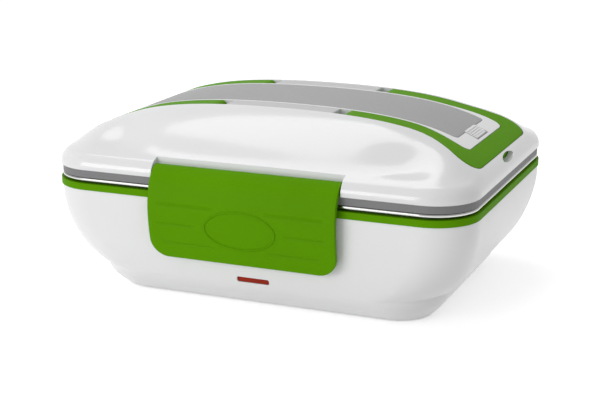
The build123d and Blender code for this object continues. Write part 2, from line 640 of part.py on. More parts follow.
# ---------------------------------------------------------------- power inlet
with BuildPart() as power_inlet:
    with BuildSketch(Plane.YZ.offset(INLET_FACE_X - INLET_FLANGE_T)):
        with Locations((0, INLET_Z)):
            RectangleRounded(
                2 * (INLET_HALF_Y + INLET_FLANGE), 2 * (INLET_HALF_Z + INLET_FLANGE), INLET_FLANGE
            )
    extrude(amount=INLET_FLANGE_T)
    with BuildSketch(Plane.YZ.offset(INLET_FACE_X)):
        with Locations((0, INLET_Z)):
            Rectangle(2 * INLET_HALF_Y, 2 * INLET_HALF_Z)
    extrude(amount=INLET_DEPTH)
    with BuildSketch(Plane.YZ.offset(INLET_FACE_X - INLET_FLANGE_T)):
        with Locations((-SOCKET_PITCH / 2, INLET_Z), (SOCKET_PITCH / 2, INLET_Z)):
            Circle(SOCKET_R)
        with Locations((0, INLET_Z)):
            Rectangle(SOCKET_PITCH, SOCKET_WAIST)
    extrude(amount=SOCKET_DEPTH + INLET_FLANGE_T, mode=Mode.SUBTRACT)
    with BuildSketch(Plane.YZ.offset(INLET_FACE_X)):
        with Locations((-SOCKET_PITCH / 2, INLET_Z), (SOCKET_PITCH / 2, INLET_Z)):
            Circle(CONTACT_R + HELD_FIT)
    extrude(amount=INLET_DEPTH, mode=Mode.SUBTRACT)

with BuildPart() as inlet_contacts:
    with BuildSketch(Plane.YZ.offset(INLET_FACE_X + SOCKET_DEPTH - CONTACT_L)):
        with Locations((-SOCKET_PITCH / 2, INLET_Z), (SOCKET_PITCH / 2, INLET_Z)):
            Circle(CONTACT_R)
    extrude(amount=CONTACT_L + INLET_DEPTH - SOCKET_DEPTH + TAIL_L)

# ---------------------------------------------------------------- wires under the tub
TERMINAL_Z = STRAP_TOP + ELEMENT_T / 2
TAIL_X = INLET_FACE_X + INLET_DEPTH + TAIL_L / 2
TAIL_Z = INLET_Z - CONTACT_R
POLE_Y = SOCKET_PITCH / 2
# Each wire's turning points keep their chosen places: straight down from the inlet to DROP_Z, slanting
# to LOW_Z near the pan floor, then along to the terminals.
DROP_Z, DROP_RUN, LOW_Z = 24.0, 12.5, 11.5


def wire(points, radii):
    """A round wire along straight runs joined by arcs."""
    with BuildPart() as run:
        with BuildLine() as route:
            FilletPolyline(*points, radius=radii)
        with BuildSketch(Plane(route.wire() @ 0, z_dir=route.wire() % 0)):
            Circle(WIRE_R)
        sweep()
    return run.part


live_wire = wire(
    [
        (TAIL_X, POLE_Y, TAIL_Z),
        (TAIL_X, POLE_Y, DROP_Z),
        (TAIL_X + DROP_RUN, POLE_Y, LOW_Z),
        (CUTOUT_X - 18, POLE_Y, LOW_Z - 3),
        (CUTOUT_X - 11, POLE_Y, TERMINAL_Z),
        (CUTOUT_X - CUTOUT_R + 1, POLE_Y, TERMINAL_Z),
    ],
    [5.0, 7.0, 5.0, 4.0],
)
neutral_wire = wire(
    [
        (TAIL_X, -POLE_Y, TAIL_Z),
        (TAIL_X, -POLE_Y, DROP_Z),
        (TAIL_X + DROP_RUN, -POLE_Y - 1, LOW_Z),
        (-ELEMENT_X / 2 - 30, -ELEMENT_Y / 2 + 3, 9.0),
        (-ELEMENT_X / 2 - 9, -ELEMENT_Y / 2 + 3, TERMINAL_Z),
        (-ELEMENT_X / 2, -ELEMENT_Y / 2 + 3, TERMINAL_Z),
    ],
    [5.0, 7.0, 7.0, 7.0],
)
link_start = CUTOUT_X + CUTOUT_R + TOUCH
with BuildPart() as link_wire:
    with BuildSketch(Plane.YZ.offset(link_start)):
        with Locations((0, TERMINAL_Z)):
            Circle(WIRE_R)
    extrude(amount=-ELEMENT_X / 2 - link_start)
LEAD_SIDES = (-1, 1)
lamp_leads = [
    wire(
        [
            (side * LEAD_X, -ELEMENT_Y / 2, TERMINAL_Z),
            (side * LEAD_X, BULB_Y + LEAD_TURN, TERMINAL_Z),
            (LAMP_X + side * BULB_LEAD_X, BULB_Y + BULB_LEAD, LAMP_Z),
            (LAMP_X + side * BULB_LEAD_X, BULB_Y + BULB_R + TOUCH, LAMP_Z),
        ],
        [LEAD_BEND, BULB_LEAD_BEND],
    )
    for side in LEAD_SIDES
]

# ---------------------------------------------------------------- lid seal and inner panel
with BuildPart() as lid_seal:
    for high, outer, inner in (
        (SEAL_H, SEAL_INSET, SEAL_INSET + SEAL_LIP),
        (SEAL_H, SEAL_BEAD_INSET, SEAL_BEAD_INSET + SEAL_BEAD),
        (SEAL_WEB, SEAL_INSET + SINK, SEAL_INNER),
    ):
        with BuildSketch(Plane.XY.offset(LID_Z - high)):
            rim_rounded(outer)
            RectangleRounded(LENGTH - 2 * inner, WIDTH - 2 * inner, CORNER - inner, mode=Mode.SUBTRACT)
        extrude(amount=high)

LATCH_CLEAR = LATCH_HALF + LATCH_GAP
with BuildPart() as lid_inner_panel:
    with BuildSketch(Plane.XY.offset(LID_Z)):
        rim_rounded(LID_WALL)
    extrude(amount=PANEL_T)
    with BuildSketch(Plane.XY.offset(LID_Z - PANEL_SINK)):
        outline(PANEL_SINK_INSET, PANEL_SINK_INSET, PANEL_CORNER)
    extrude(amount=PANEL_SINK + PANEL_T)
    with BuildSketch(Plane.XY.offset(LID_Z - PANEL_SINK + PANEL_T)):
        outline(PANEL_SINK_INSET + PANEL_T, PANEL_SINK_INSET + PANEL_T, PANEL_CORNER - PANEL_T)
    extrude(amount=PANEL_SINK + PANEL_T, mode=Mode.SUBTRACT)
    with BuildSketch(Plane.XY.offset(LID_Z - SEAT)):
        with GridLocations(1, WIDTH, 1, 2):
            Rectangle(2 * (LATCH_CLEAR + LATCH_PIN_REACH + 1), 2 * (POCKET_DEPTH + POCKET_WALL))
    extrude(amount=PANEL_T + 1, mode=Mode.SUBTRACT)

# ---------------------------------------------------------------- lid shell
with BuildPart() as lid_dome:
    with BuildSketch(Plane.XY.offset(LID_Z)):
        rim_rounded(DOME_INSET)
    extrude(amount=TALL)
    add(SURFACE, mode=Mode.INTERSECT)

with BuildPart() as lid_envelope:
    with BuildSketch(Plane.XY.offset(LID_Z)):
        rim_rounded(0)
    extrude(amount=LID_RIM_H)
    fillet(edges().group_by(Axis.Z)[-1], radius=LID_RIM_ROUND)
    add(lid_dome.part)

with BuildPart() as dome_hollow:
    with BuildSketch(Plane.XY.offset(LID_Z)):
        rim_rounded(DOME_INSET + LID_WALL)
    extrude(amount=TALL)
    add(crown_body(LID_WALL), mode=Mode.INTERSECT)

with BuildPart() as lid_hollow:
    with BuildSketch(Plane.XY.offset(LID_Z - 1)):
        rim_rounded(LID_WALL)
    extrude(amount=LID_RIM_H - LID_RIM_ROUND + 1)
    with BuildSketch(Plane.XY.offset(LID_Z)):
        rim_rounded(LID_RIM_ROUND)
    extrude(amount=LID_RIM_H - LID_WALL)
    add(dome_hollow.part)

with BuildPart() as cover_band:
    with BuildSketch(Plane.XY.offset(LID_Z)):
        Rectangle(2 * BAND_HALF_X, 2 * BAND_HALF_Y)
    extrude(amount=TALL)
    add(crown_body(BAND_T), mode=Mode.SUBTRACT)

RAIL_MID = (ARM_IN + ARM_OUT) / 2
with BuildPart() as channel_walls:
    with BuildSketch(Plane.XY.offset(LID_Z)):
        add(handle_plan(SLIP + CHANNEL_WALL))
        mirror(about=Plane.YZ)
        with GridLocations(1, 2 * RAIL_MID, 1, 2):
            Rectangle(2 * PIVOT_X + 4, ARM_OUT - ARM_IN + 2 * (SLIP + CHANNEL_WALL))
    extrude(amount=TALL)
    add(crown_body(HANDLE_T + GROOVE_EXTRA + CHANNEL_WALL), mode=Mode.SUBTRACT)

with BuildPart() as channel_voids:
    with BuildSketch(Plane.XY.offset(LID_Z)):
        add(handle_plan(SLIP))
        mirror(about=Plane.YZ)
        with GridLocations(1, 2 * RAIL_MID, 1, 2):
            Rectangle(2 * PIVOT_X + 1, ARM_OUT - ARM_IN + 2 * SLIP)
    extrude(amount=TALL)
    add(crown_body(HANDLE_T + GROOVE_EXTRA), mode=Mode.SUBTRACT)

with BuildPart() as cover_recess:
    with BuildSketch(Plane.XY.offset(LID_Z)):
        add(cover_plan(SLIP))
    extrude(amount=TALL)
    add(crown_body(COVER_T + SEAT), mode=Mode.SUBTRACT)

with BuildPart() as over_panel:
    with BuildSketch(Plane.XY.offset(LID_Z + PANEL_T + SEAT)):
        rim_rounded(0)
    extrude(amount=TALL)

with BuildPart() as lid_fittings:
    add(cover_band.part)
    add(channel_walls.part)
    with BuildSketch(Plane.XY.offset(TRAY_Z - TRAY_WALL)):
        Rectangle(2 * (TRAY_HALF_X + TRAY_WALL), 2 * (TRAY_HALF_Y + TRAY_WALL))
    extrude(amount=TALL)
    with BuildSketch(Plane.XY.offset(PIVOT_Z - PIVOT_R - SLIP - CHANNEL_WALL)):
        with GridLocations(2 * PIVOT_X, 2 * RAIL_MID, 2, 2):
            Rectangle(PIN_BLOCK_L, ARM_OUT - ARM_IN + 2 * (SLIP + HANDLE_PIN_REACH + PIN_BLOCK_END))
    extrude(amount=TALL)
    with BuildSketch(Plane.XZ.offset(-BAND_HALF_Y - 0.5)):
        with Locations((HINGE_X, HINGE_Z)):
            Circle(HINGE_BODY_R)
    extrude(amount=2 * BAND_HALF_Y + 1)
    with BuildSketch(Plane.YZ.offset(CROSS_OUT - SCOOP_DEPTH - CHANNEL_WALL)):
        with Locations((0, SCOOP_Z)):
            Ellipse(SCOOP_HALF + CHANNEL_WALL, SCOOP_H + CHANNEL_WALL)
    extrude(amount=SCOOP_DEPTH + SCOOP_RUN)
    with BuildSketch(Plane.YZ.offset(-CROSS_OUT + SCOOP_DEPTH + CHANNEL_WALL)):
        with Locations((0, SCOOP_Z)):
            Ellipse(SCOOP_HALF + CHANNEL_WALL, SCOOP_H + CHANNEL_WALL)
    extrude(amount=-SCOOP_DEPTH - SCOOP_RUN)
    add(over_panel.part, mode=Mode.INTERSECT)
    with BuildSketch(Plane.XY.offset(LID_Z)):
        with GridLocations(1, 2 * (HALF_W - POCKET_DEPTH / 2 - POCKET_WALL / 2), 1, 2):
            Rectangle(2 * (LATCH_CLEAR + LATCH_PIN_REACH + 1), POCKET_DEPTH + POCKET_WALL)
    extrude(amount=TALL)
    add(lid_envelope.part, mode=Mode.INTERSECT)

with BuildPart() as lid_shell:
    add(lid_envelope.part)
    add(lid_hollow.part, mode=Mode.SUBTRACT)
    add(lid_fittings.part)
    add(channel_voids.part, mode=Mode.SUBTRACT)
    add(cover_recess.part, mode=Mode.SUBTRACT)
    with BuildSketch(Plane.XY.offset(TRAY_Z)):
        RectangleRounded(2 * TRAY_HALF_X, 2 * TRAY_HALF_Y, TRAY_R)
    extrude(amount=TALL, mode=Mode.SUBTRACT)
    with BuildSketch(Plane.XY.offset(PIVOT_Z - PIVOT_R - SLIP)):
        with GridLocations(2 * (PIVOT_X - 1), 2 * RAIL_MID, 2, 2):
            Rectangle(2 * (PIVOT_X - 1 - RAIL_END), ARM_OUT - ARM_IN + 2 * SLIP)
    extrude(amount=TALL, mode=Mode.SUBTRACT)
    with BuildSketch(Plane.XZ.offset(-ARM_OUT - SLIP - HANDLE_PIN_REACH)):
        with Locations((-PIVOT_X, PIVOT_Z), (PIVOT_X, PIVOT_Z)):
            Circle(PIN_R + HELD_FIT)
    extrude(amount=ARM_OUT - ARM_IN + 2 * (SLIP + HANDLE_PIN_REACH), mode=Mode.SUBTRACT)
    with BuildSketch(Plane.XZ.offset(ARM_IN - SLIP - HANDLE_PIN_REACH)):
        with Locations((-PIVOT_X, PIVOT_Z), (PIVOT_X, PIVOT_Z)):
            Circle(PIN_R + HELD_FIT)
    extrude(amount=ARM_OUT - ARM_IN + 2 * (SLIP + HANDLE_PIN_REACH), mode=Mode.SUBTRACT)
    with BuildSketch(Plane.XZ.offset(-COVER_HALF - SLIP)):
        with Locations((HINGE_X, HINGE_Z)):
            Circle(HINGE_SWEEP_R)
    extrude(amount=2 * (COVER_HALF + SLIP), mode=Mode.SUBTRACT)
    with BuildSketch(Plane.XZ.offset(-BAND_HALF_Y + SEAT)):
        with Locations((HINGE_X, HINGE_Z)):
            Circle(COVER_PIN_R + HELD_FIT)
    extrude(amount=2 * (BAND_HALF_Y - SEAT), mode=Mode.SUBTRACT)
    with BuildSketch(Plane.XY.offset(LID_Z - 1)):
        with GridLocations(1, 2 * HALF_W, 1, 2):
            Rectangle(2 * LATCH_CLEAR, 2 * POCKET_DEPTH)
    extrude(amount=TALL, mode=Mode.SUBTRACT)
    with BuildSketch(Plane.YZ.offset(-LATCH_CLEAR - LATCH_PIN_REACH)):
        with Locations(*[(side * (HALF_W - LATCH_AXIS_IN), LATCH_AXIS_Z) for side in (-1, 1)]):
            Circle(LATCH_PIN_R + HELD_FIT)
    extrude(amount=2 * (LATCH_CLEAR + LATCH_PIN_REACH), mode=Mode.SUBTRACT)
    with BuildSketch(Plane.YZ.offset(CROSS_OUT - SCOOP_DEPTH)):
        with Locations((0, SCOOP_Z)):
            Ellipse(SCOOP_HALF, SCOOP_H)
    extrude(amount=SCOOP_DEPTH + SCOOP_RUN, mode=Mode.SUBTRACT)
    with BuildSketch(Plane.YZ.offset(-CROSS_OUT + SCOOP_DEPTH)):
        with Locations((0, SCOOP_Z)):
            Ellipse(SCOOP_HALF, SCOOP_H)
    extrude(amount=-SCOOP_DEPTH - SCOOP_RUN, mode=Mode.SUBTRACT)

# ---------------------------------------------------------------- handles, rails and their pins
with BuildPart() as right_handle:
    with BuildSketch(Plane.XY.offset(LID_Z)):
        add(handle_plan(0))
    extrude(amount=TALL)
    add(SURFACE, mode=Mode.INTERSECT)
    add(crown_body(HANDLE_T), mode=Mode.SUBTRACT)
    with BuildSketch(Plane.XZ.offset(-ARM_OUT)):
        with Locations((PIVOT_X, PIVOT_Z)):
            Circle(PIVOT_R)
    extrude(amount=ARM_OUT - ARM_IN)
    with BuildSketch(Plane.XZ.offset(ARM_IN)):
        with Locations((PIVOT_X, PIVOT_Z)):
            Circle(PIVOT_R)
    extrude(amount=ARM_OUT - ARM_IN)
    with BuildSketch(Plane.XZ.offset(-ARM_OUT - 1)):
        with Locations((PIVOT_X, PIVOT_Z)):
            Circle(PIN_R + PIN_FIT)
    extrude(amount=2 * ARM_OUT + 2, mode=Mode.SUBTRACT)

with BuildPart() as left_handle:
    add(right_handle.part)
    mirror(about=Plane.YZ, mode=Mode.REPLACE)

rails = {}
for name, side in (("front_rail", -1), ("rear_rail", 1)):
    with BuildPart() as rail:
        with BuildSketch(Plane.XY.offset(LID_Z)):
            with Locations((0, side * RAIL_MID)):
                Rectangle(2 * RAIL_END, ARM_OUT - ARM_IN + 2 * SLIP)
        extrude(amount=TALL)
        add(SURFACE, mode=Mode.INTERSECT)
        add(crown_body(HANDLE_T + GROOVE_EXTRA), mode=Mode.SUBTRACT)
    rails[name] = rail

with BuildPart() as handle_pins:
    for low in (ARM_IN - SLIP - HANDLE_PIN_REACH + SEAT, -ARM_OUT - SLIP - HANDLE_PIN_REACH + SEAT):
        with BuildSketch(Plane.XZ.offset(low)):
            with Locations((-PIVOT_X, PIVOT_Z), (PIVOT_X, PIVOT_Z)):
                Circle(PIN_R)
        extrude(amount=ARM_OUT - ARM_IN + 2 * (SLIP + HANDLE_PIN_REACH - SEAT))

# ---------------------------------------------------------------- spoon cover, its pin and the spoon
with BuildPart() as spoon_cover:
    with BuildSketch(Plane.XY.offset(LID_Z)):
        add(cover_plan(0))
    extrude(amount=TALL)
    add(SURFACE, mode=Mode.INTERSECT)
    add(crown_body(COVER_T), mode=Mode.SUBTRACT)
    with BuildSketch(Plane.XZ.offset(-COVER_HALF + SEAT)):
        with Locations((HINGE_X, HINGE_Z)):
            Circle(BARREL_R)
    extrude(amount=2 * (COVER_HALF - SEAT))
    with BuildSketch(Plane.XZ.offset(-COVER_HALF - 1)):
        with Locations((HINGE_X, HINGE_Z)):
            Circle(COVER_PIN_R + PIN_FIT)
    extrude(amount=2 * (COVER_HALF + 1), mode=Mode.SUBTRACT)

with BuildPart() as cover_hinge_pin:
    with BuildSketch(Plane.XZ.offset(-BAND_HALF_Y + 2 * SEAT)):
        with Locations((HINGE_X, HINGE_Z)):
            Circle(COVER_PIN_R)
    extrude(amount=2 * (BAND_HALF_Y - 2 * SEAT))

BOWL_MID = SPOON_HALF_L - SPOON_BOWL_L / 2
with BuildPart() as spoon:
    with BuildSketch(Plane.XY.offset(TRAY_Z + SEAT)):
        with Locations((BOWL_MID, 0)):
            Ellipse(SPOON_BOWL_L / 2 - SPOON_SLANT, SPOON_BOWL_W / 2 - SPOON_SLANT)
    with BuildSketch(Plane.XY.offset(TRAY_Z + SEAT + SPOON_BOWL_H)):
        with Locations((BOWL_MID, 0)):
            Ellipse(SPOON_BOWL_L / 2, SPOON_BOWL_W / 2)
    loft()
    with BuildSketch(Plane.XY.offset(TRAY_Z + SEAT + SPOON_FLOOR)):
        with Locations((BOWL_MID, 0)):
            Ellipse(SPOON_BOWL_L / 2 - SPOON_SLANT - SPOON_EDGE, SPOON_BOWL_W / 2 - SPOON_SLANT - SPOON_EDGE)
    with BuildSketch(Plane.XY.offset(TRAY_Z + SEAT + SPOON_BOWL_H + SINK)):
        with Locations((BOWL_MID, 0)):
            Ellipse(SPOON_BOWL_L / 2 - SPOON_EDGE, SPOON_BOWL_W / 2 - SPOON_EDGE)
    loft(mode=Mode.SUBTRACT)
    stem_end = BOWL_MID - SPOON_BOWL_L / 2 + SPOON_JOIN
    with BuildSketch(Plane.XY.offset(TRAY_Z + SEAT + SPOON_BOWL_H - SPOON_T)):
        with Locations(((stem_end - SPOON_HALF_L) / 2, 0)):
            RectangleRounded(stem_end + SPOON_HALF_L, SPOON_W, SPOON_STEM_R)
    extrude(amount=SPOON_T)

# ---------------------------------------------------------------- latches and their pins
# The flap's section: distance outside the rim's face, then height above the lid's lower edge for
# the part that follows the lid, or above the rim's underside for the part that follows the base.
LATCH_OUTER_LID = [(-4.8, 7.0), (-0.6, 4.8), (3.0, 0.2)]
LATCH_OUTER_BASE = [(5.2, 5.0), (6.2, -3.0), (5.9, -10.0), (5.0, -17.0), (3.5, -24.5), (1.9, -31.0)]
LATCH_INNER_BASE = [(0.3, -31.0), (1.2, -24.5), (2.4, -17.0), (3.3, -10.0), (3.5, -3.0), (2.6, 4.0)]
LATCH_INNER_LID = [(0.6, -1.8), (-2.0, 0.9), (-3.8, 1.0)]


def latch_points(points, height):
    """Points of the front latch's section, in the plane across the box."""
    return [(-HALF_W - out, height + up) for out, up in points]


latch_outer = latch_points(LATCH_OUTER_LID, LID_Z) + latch_points(LATCH_OUTER_BASE, RIM_Z)
latch_inner = latch_points(LATCH_INNER_BASE, RIM_Z) + latch_points(LATCH_INNER_LID, LID_Z)
latch_hook = latch_points([(LATCH_HOOK_OUT, LATCH_HOOK_UP)], RIM_Z)

with BuildPart() as front_latch:
    with BuildSketch(Plane.YZ.offset(-LATCH_HALF)):
        with BuildLine():
            Spline(*latch_outer)
            Line(latch_outer[-1], latch_inner[0])
            Spline(*latch_inner)
            Line(latch_inner[-1], latch_outer[0])
        make_face()
        with Locations((-HALF_W + LATCH_AXIS_IN, LATCH_AXIS_Z)):
            Circle(LATCH_BARREL_R)
        with Locations(*latch_hook):
            Rectangle(HOOK_REACH, HOOK_H)
    extrude(amount=2 * LATCH_HALF)
    with BuildSketch(Plane.XZ):
        with BuildLine():
            Polyline(
                (-LATCH_HALF, LATCH_AXIS_Z + 8),
                (-LATCH_HALF, LATCH_BOTTOM),
                (LATCH_HALF, LATCH_BOTTOM),
                (LATCH_HALF, LATCH_AXIS_Z + 8),
                close=True,
            )
        make_face()
        fillet(vertices().group_by(Axis.Z)[0], radius=LATCH_CORNER)
    extrude(amount=WIDTH, mode=Mode.INTERSECT)
    with BuildSketch(Plane.YZ.offset(-LATCH_HALF - 1)):
        with Locations((-HALF_W + LATCH_AXIS_IN, LATCH_AXIS_Z)):
            Circle(LATCH_PIN_R + PIN_FIT)
    extrude(amount=2 * LATCH_HALF + 2, mode=Mode.SUBTRACT)

with BuildPart() as rear_latch:
    add(front_latch.part)
    mirror(about=Plane.XZ, mode=Mode.REPLACE)

with BuildPart() as latch_pins:
    with BuildSketch(Plane.YZ.offset(-LATCH_CLEAR - LATCH_PIN_REACH + SEAT)):
        with Locations(*[(side * (HALF_W - LATCH_AXIS_IN), LATCH_AXIS_Z) for side in (-1, 1)]):
            Circle(LATCH_PIN_R)
    extrude(amount=2 * (LATCH_CLEAR + LATCH_PIN_REACH - SEAT))

# ---------------------------------------------------------------- the pieces, one file each
PIECES = {
    "base_shell": base_shell.part,
    "bottom_pan": bottom_pan.part,
    "pan_screws": pan_screws.part,
    "rubber_feet": feet.part,
    "rim_trim": rim_trim.part,
    "inner_tub": inner_tub.part,
    "food_container": container.part,
    "side_bowl": side_bowl.part,
    "heater_plate": heater_plate.part,
    "heating_element": heating_element.part,
    "clamp_strap": clamp_strap.part,
    "strap_screws": strap_screws.part,
    "thermal_cutout": thermal_cutout.part,
    "lamp_window": lamp_window.part,
    "indicator_lamp": indicator_lamp.part,
    "power_inlet": power_inlet.part,
    "inlet_contacts": inlet_contacts.part,
    "live_wire": live_wire,
    "neutral_wire": neutral_wire,
    "link_wire": link_wire.part,
    "lamp_lead_left": lamp_leads[0],
    "lamp_lead_right": lamp_leads[1],
    "lid_shell": lid_shell.part,
    "lid_inner_panel": lid_inner_panel.part,
    "lid_seal": lid_seal.part,
    "front_rail": rails["front_rail"].part,
    "rear_rail": rails["rear_rail"].part,
    "handle_pins": handle_pins.part,
    "right_handle": right_handle.part,
    "left_handle": left_handle.part,
    "spoon_cover": spoon_cover.part,
    "cover_hinge_pin": cover_hinge_pin.part,
    "spoon": spoon.part,
    "front_latch": front_latch.part,
    "rear_latch": rear_latch.part,
    "latch_pins": latch_pins.part,
}

os.makedirs("parts", exist_ok=True)
for name, piece in PIECES.items():
    piece.label = name
    export_step(piece, f"parts/{name}.step")
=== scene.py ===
import json
import math

import bmesh
import bpy
from mathutils import Matrix, Vector


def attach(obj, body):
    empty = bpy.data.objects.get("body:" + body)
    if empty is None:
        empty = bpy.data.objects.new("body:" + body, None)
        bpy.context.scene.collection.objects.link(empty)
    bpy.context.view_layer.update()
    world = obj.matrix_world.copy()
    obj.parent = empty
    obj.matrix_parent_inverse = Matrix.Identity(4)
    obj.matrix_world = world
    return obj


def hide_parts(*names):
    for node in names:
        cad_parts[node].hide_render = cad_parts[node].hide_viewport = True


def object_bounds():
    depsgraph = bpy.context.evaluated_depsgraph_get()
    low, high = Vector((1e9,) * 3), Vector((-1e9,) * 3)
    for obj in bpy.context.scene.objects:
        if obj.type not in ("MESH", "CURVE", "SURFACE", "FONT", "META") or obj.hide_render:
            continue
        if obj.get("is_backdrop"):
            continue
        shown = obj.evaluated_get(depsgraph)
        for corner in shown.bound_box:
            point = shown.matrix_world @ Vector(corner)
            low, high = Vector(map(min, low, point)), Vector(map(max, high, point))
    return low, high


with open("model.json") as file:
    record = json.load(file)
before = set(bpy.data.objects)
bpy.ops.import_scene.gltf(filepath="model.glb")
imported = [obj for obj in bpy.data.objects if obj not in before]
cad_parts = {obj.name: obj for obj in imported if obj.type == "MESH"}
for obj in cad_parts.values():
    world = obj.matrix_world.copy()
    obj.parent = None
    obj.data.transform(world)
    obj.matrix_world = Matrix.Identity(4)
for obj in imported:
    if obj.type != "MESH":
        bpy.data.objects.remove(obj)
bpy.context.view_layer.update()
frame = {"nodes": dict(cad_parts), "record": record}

# ------------------------------------------------------------------ sizes, in millimetres
MM = 0.001
HALF_L, HALF_W = 120.0, 86.5  # half the rim's outline
CORNER = 25.0  # rim corner radius
RIM_Z, LID_Z = 60.5, 71.5  # underside of the green trim, underside of the lid
CROWN_Z = 105.0
SKY = 12.0  # how far cutters reach above the lid's top
SLIP = 0.4  # gap round the pieces let into the lid
ARM_IN, ARM_OUT = 28.3, 40.0
PIVOT_X, PIVOT_R = 39.0, 2.6
PIN_R, COVER_PIN_R, LATCH_PIN_R = 1.05, 0.85, 1.3  # bores for the hinge pins
CROSS_OUT, CROSS_W, CROSS_HALF, CROSS_IN_HALF = 114.5, 9.2, 58.0, 34.6
FLARE_OUT, FLARE_IN, FLARE_SLOPE = 38.5, 33.3, 0.6
OUTER_ROUND, INNER_ROUND = 15.9, 5.0  # lengths cut off the handle's corners along its sides
HANDLE_T, COVER_T = 5.2, 2.0
GROOVE_SLACK, SEAT_SLACK = 0.5, 0.1  # extra depth under the handles, and under the cover
COVER_END, COVER_HALF = 96.0, 25.8
COVER_CORNER = 3.0
TAB_L, TAB_HALF = 7.0, 10.0
RAIL_END, RAIL_GAP, RAIL_LAP = 31.5, 0.1, 0.5  # rail half-length, side gap, groove's reach past the pivots
ARM_ROOM = 5.5  # how far the pockets for the handles' barrels reach past the pivots, away from the rails
TRAY_HALF_X, TRAY_HALF_Y, TRAY_Z, TRAY_ROUND = 80.0, 22.5, 91.0, 6.0
HINGE_X, HINGE_Z, HINGE_R, HINGE_ROOM = -93.6, 91.0, 1.9, 4.4  # cover hinge: place, barrel, its hollow
HINGE_END_GAP = 0.1
LATCH_HALF, LATCH_GAP = 53.0, 0.8
POCKET_DEPTH, POCKET_BELOW, POCKET_BEYOND = 7.6, 2.0, 5.0
LATCH_Y, LATCH_Z, LATCH_BARREL = 82.7, 75.1, 2.8  # latch hinge axis and barrel radius
PIN_OVERRUN = 1.0  # how far a bore's cutter passes each end of its barrel
NOTCH_HALF, NOTCH_RISE, NOTCH_RUN = 10.5, 2.2, 15.0  # finger notch: half-width, half-height, cutter length
NOTCH_INSET, NOTCH_LIFT = 1.4, 1.9  # its start inside the crossbar's edge, its middle above the underside


# ------------------------------------------------------------------ the lid's crowned surface
def soft_max(a, b, width):
    """The higher of two heights, with their meeting rounded over a width."""
    near = max(width - abs(a - b), 0.0) / width
    return max(a, b) + near * near * width / 4


def rim_inset(x, y):
    """How far a point in plan lies inside the rim's outline."""
    out_x, out_y = abs(x) - (HALF_L - CORNER), abs(y) - (HALF_W - CORNER)
    if out_x > 0 and out_y > 0:
        return CORNER - math.hypot(out_x, out_y)
    return CORNER - max(out_x, out_y)


DISH_X, DISH_Y, DISH_A, DISH_B, DISH_DEEP = 81.0, 66.0, 27.0, 13.5, 1.7
RIM_ROUND, RIM_ROUND_LOW = 4.5, 73.0
LIP_Z, LIP_SLOPE, LIP_BLEND = 78.2, 0.40, 2.5
END_FALLS = ((8.0, 2), (14.5, 4), (4.1, 8))  # drop at the ends, and the power of x it follows
PLATEAU, PLATEAU_SPREAD = 41.0, 9.0  # half-width of the level middle, and its widening at the crossbars
SPREAD_X = (80.0, 108.0)
FALL_SLOPE, FALL_ROUND, FALL_CURVE = 0.30, 2.0, 0.0095  # the fall beyond it: slope, soft start, curve
FALL_BLEND = 1.2  # how softly the end fall and the side fall join


def crown(x, y):
    """Height of the lid's top over a point, before the rim is rounded off."""
    end = sum(fall * (abs(x) / HALF_L) ** power for fall, power in END_FALLS)
    t = min(max((abs(x) - SPREAD_X[0]) / (SPREAD_X[1] - SPREAD_X[0]), 0.0), 1.0)
    beyond = max(abs(y) - PLATEAU - PLATEAU_SPREAD * t * t * (3 - 2 * t), 0.0)
    side = FALL_SLOPE * (math.hypot(beyond, FALL_ROUND) - FALL_ROUND) + FALL_CURVE * beyond * beyond
    lip = LIP_Z + LIP_SLOPE * min(rim_inset(x, y), CORNER)
    fall = (end**FALL_BLEND + side**FALL_BLEND) ** (1 / FALL_BLEND)
    return soft_max(CROWN_Z - fall, lip, LIP_BLEND)


def lid_top(x, y):
    """Height of the lid's outer surface over a point: crown, shallow dishes and rounded rim."""
    reach = math.hypot((abs(x) - DISH_X) / DISH_A, (abs(y) - DISH_Y) / DISH_B)
    dish = DISH_DEEP * (1 - reach * reach) ** 2 if reach < 1 else 0.0
    inset = max(rim_inset(x, y), 0.0)
    rise = math.sqrt(1 - (1 - inset / RIM_ROUND) ** 2) if inset < RIM_ROUND else 1.0
    return RIM_ROUND_LOW + (crown(x, y) - dish - RIM_ROUND_LOW) * rise


# ------------------------------------------------------------------ shaping helpers
def rounded_ring(bm, half_x, half_y, radius, height, steps=12, cuts=(0, 0)):
    """Lays one rounded rectangle of edges at a height; cuts divide its straight sides along x and y."""
    known = set(bm.faces)
    corners = bmesh.ops.create_grid(bm, x_segments=1, y_segments=1, size=1.0)["verts"]
    bmesh.ops.scale(bm, vec=(half_x, half_y, 1.0), verts=corners)
    bmesh.ops.translate(bm, vec=(0.0, 0.0, height), verts=corners)
    bmesh.ops.bevel(
        bm, geom=corners, offset=radius, segments=steps, profile=0.5, affect="VERTICES", material=-1
    )
    face = next(f for f in bm.faces if f not in known)
    verts = set(face.verts)
    short = 2 * radius / steps
    sides = [
        [e for e in face.edges if abs(e.verts[0].co[k] - e.verts[1].co[k]) < 1e-6 and e.calc_length() > short]
        for k in (1, 0)
    ]
    bm.faces.remove(face)
    for edges, count in zip(sides, cuts):
        for edge in edges:
            start = edge.verts[0]
            for left in range(count, 0, -1):
                start = bmesh.utils.edge_split(edge, start, 1 / (left + 1))[1]
                verts.add(start)
    return list({e for v in verts for e in v.link_edges if e.verts[0] in verts and e.verts[1] in verts})


def bridge(bm, low, high):
    """Joins two rings of edges with faces."""
    bmesh.ops.bridge_loops(bm, edges=low + high)


def loft(bm, rings, closed=False):
    """Joins each ring to the next, and the last to the first if the section is closed."""
    for low, high in zip(rings, rings[1:]):
        bridge(bm, low, high)
    if closed:
        bridge(bm, rings[-1], rings[0])


def cap(bm, ring):
    """Closes a ring with one face."""
    bmesh.ops.contextual_create(bm, geom=ring)


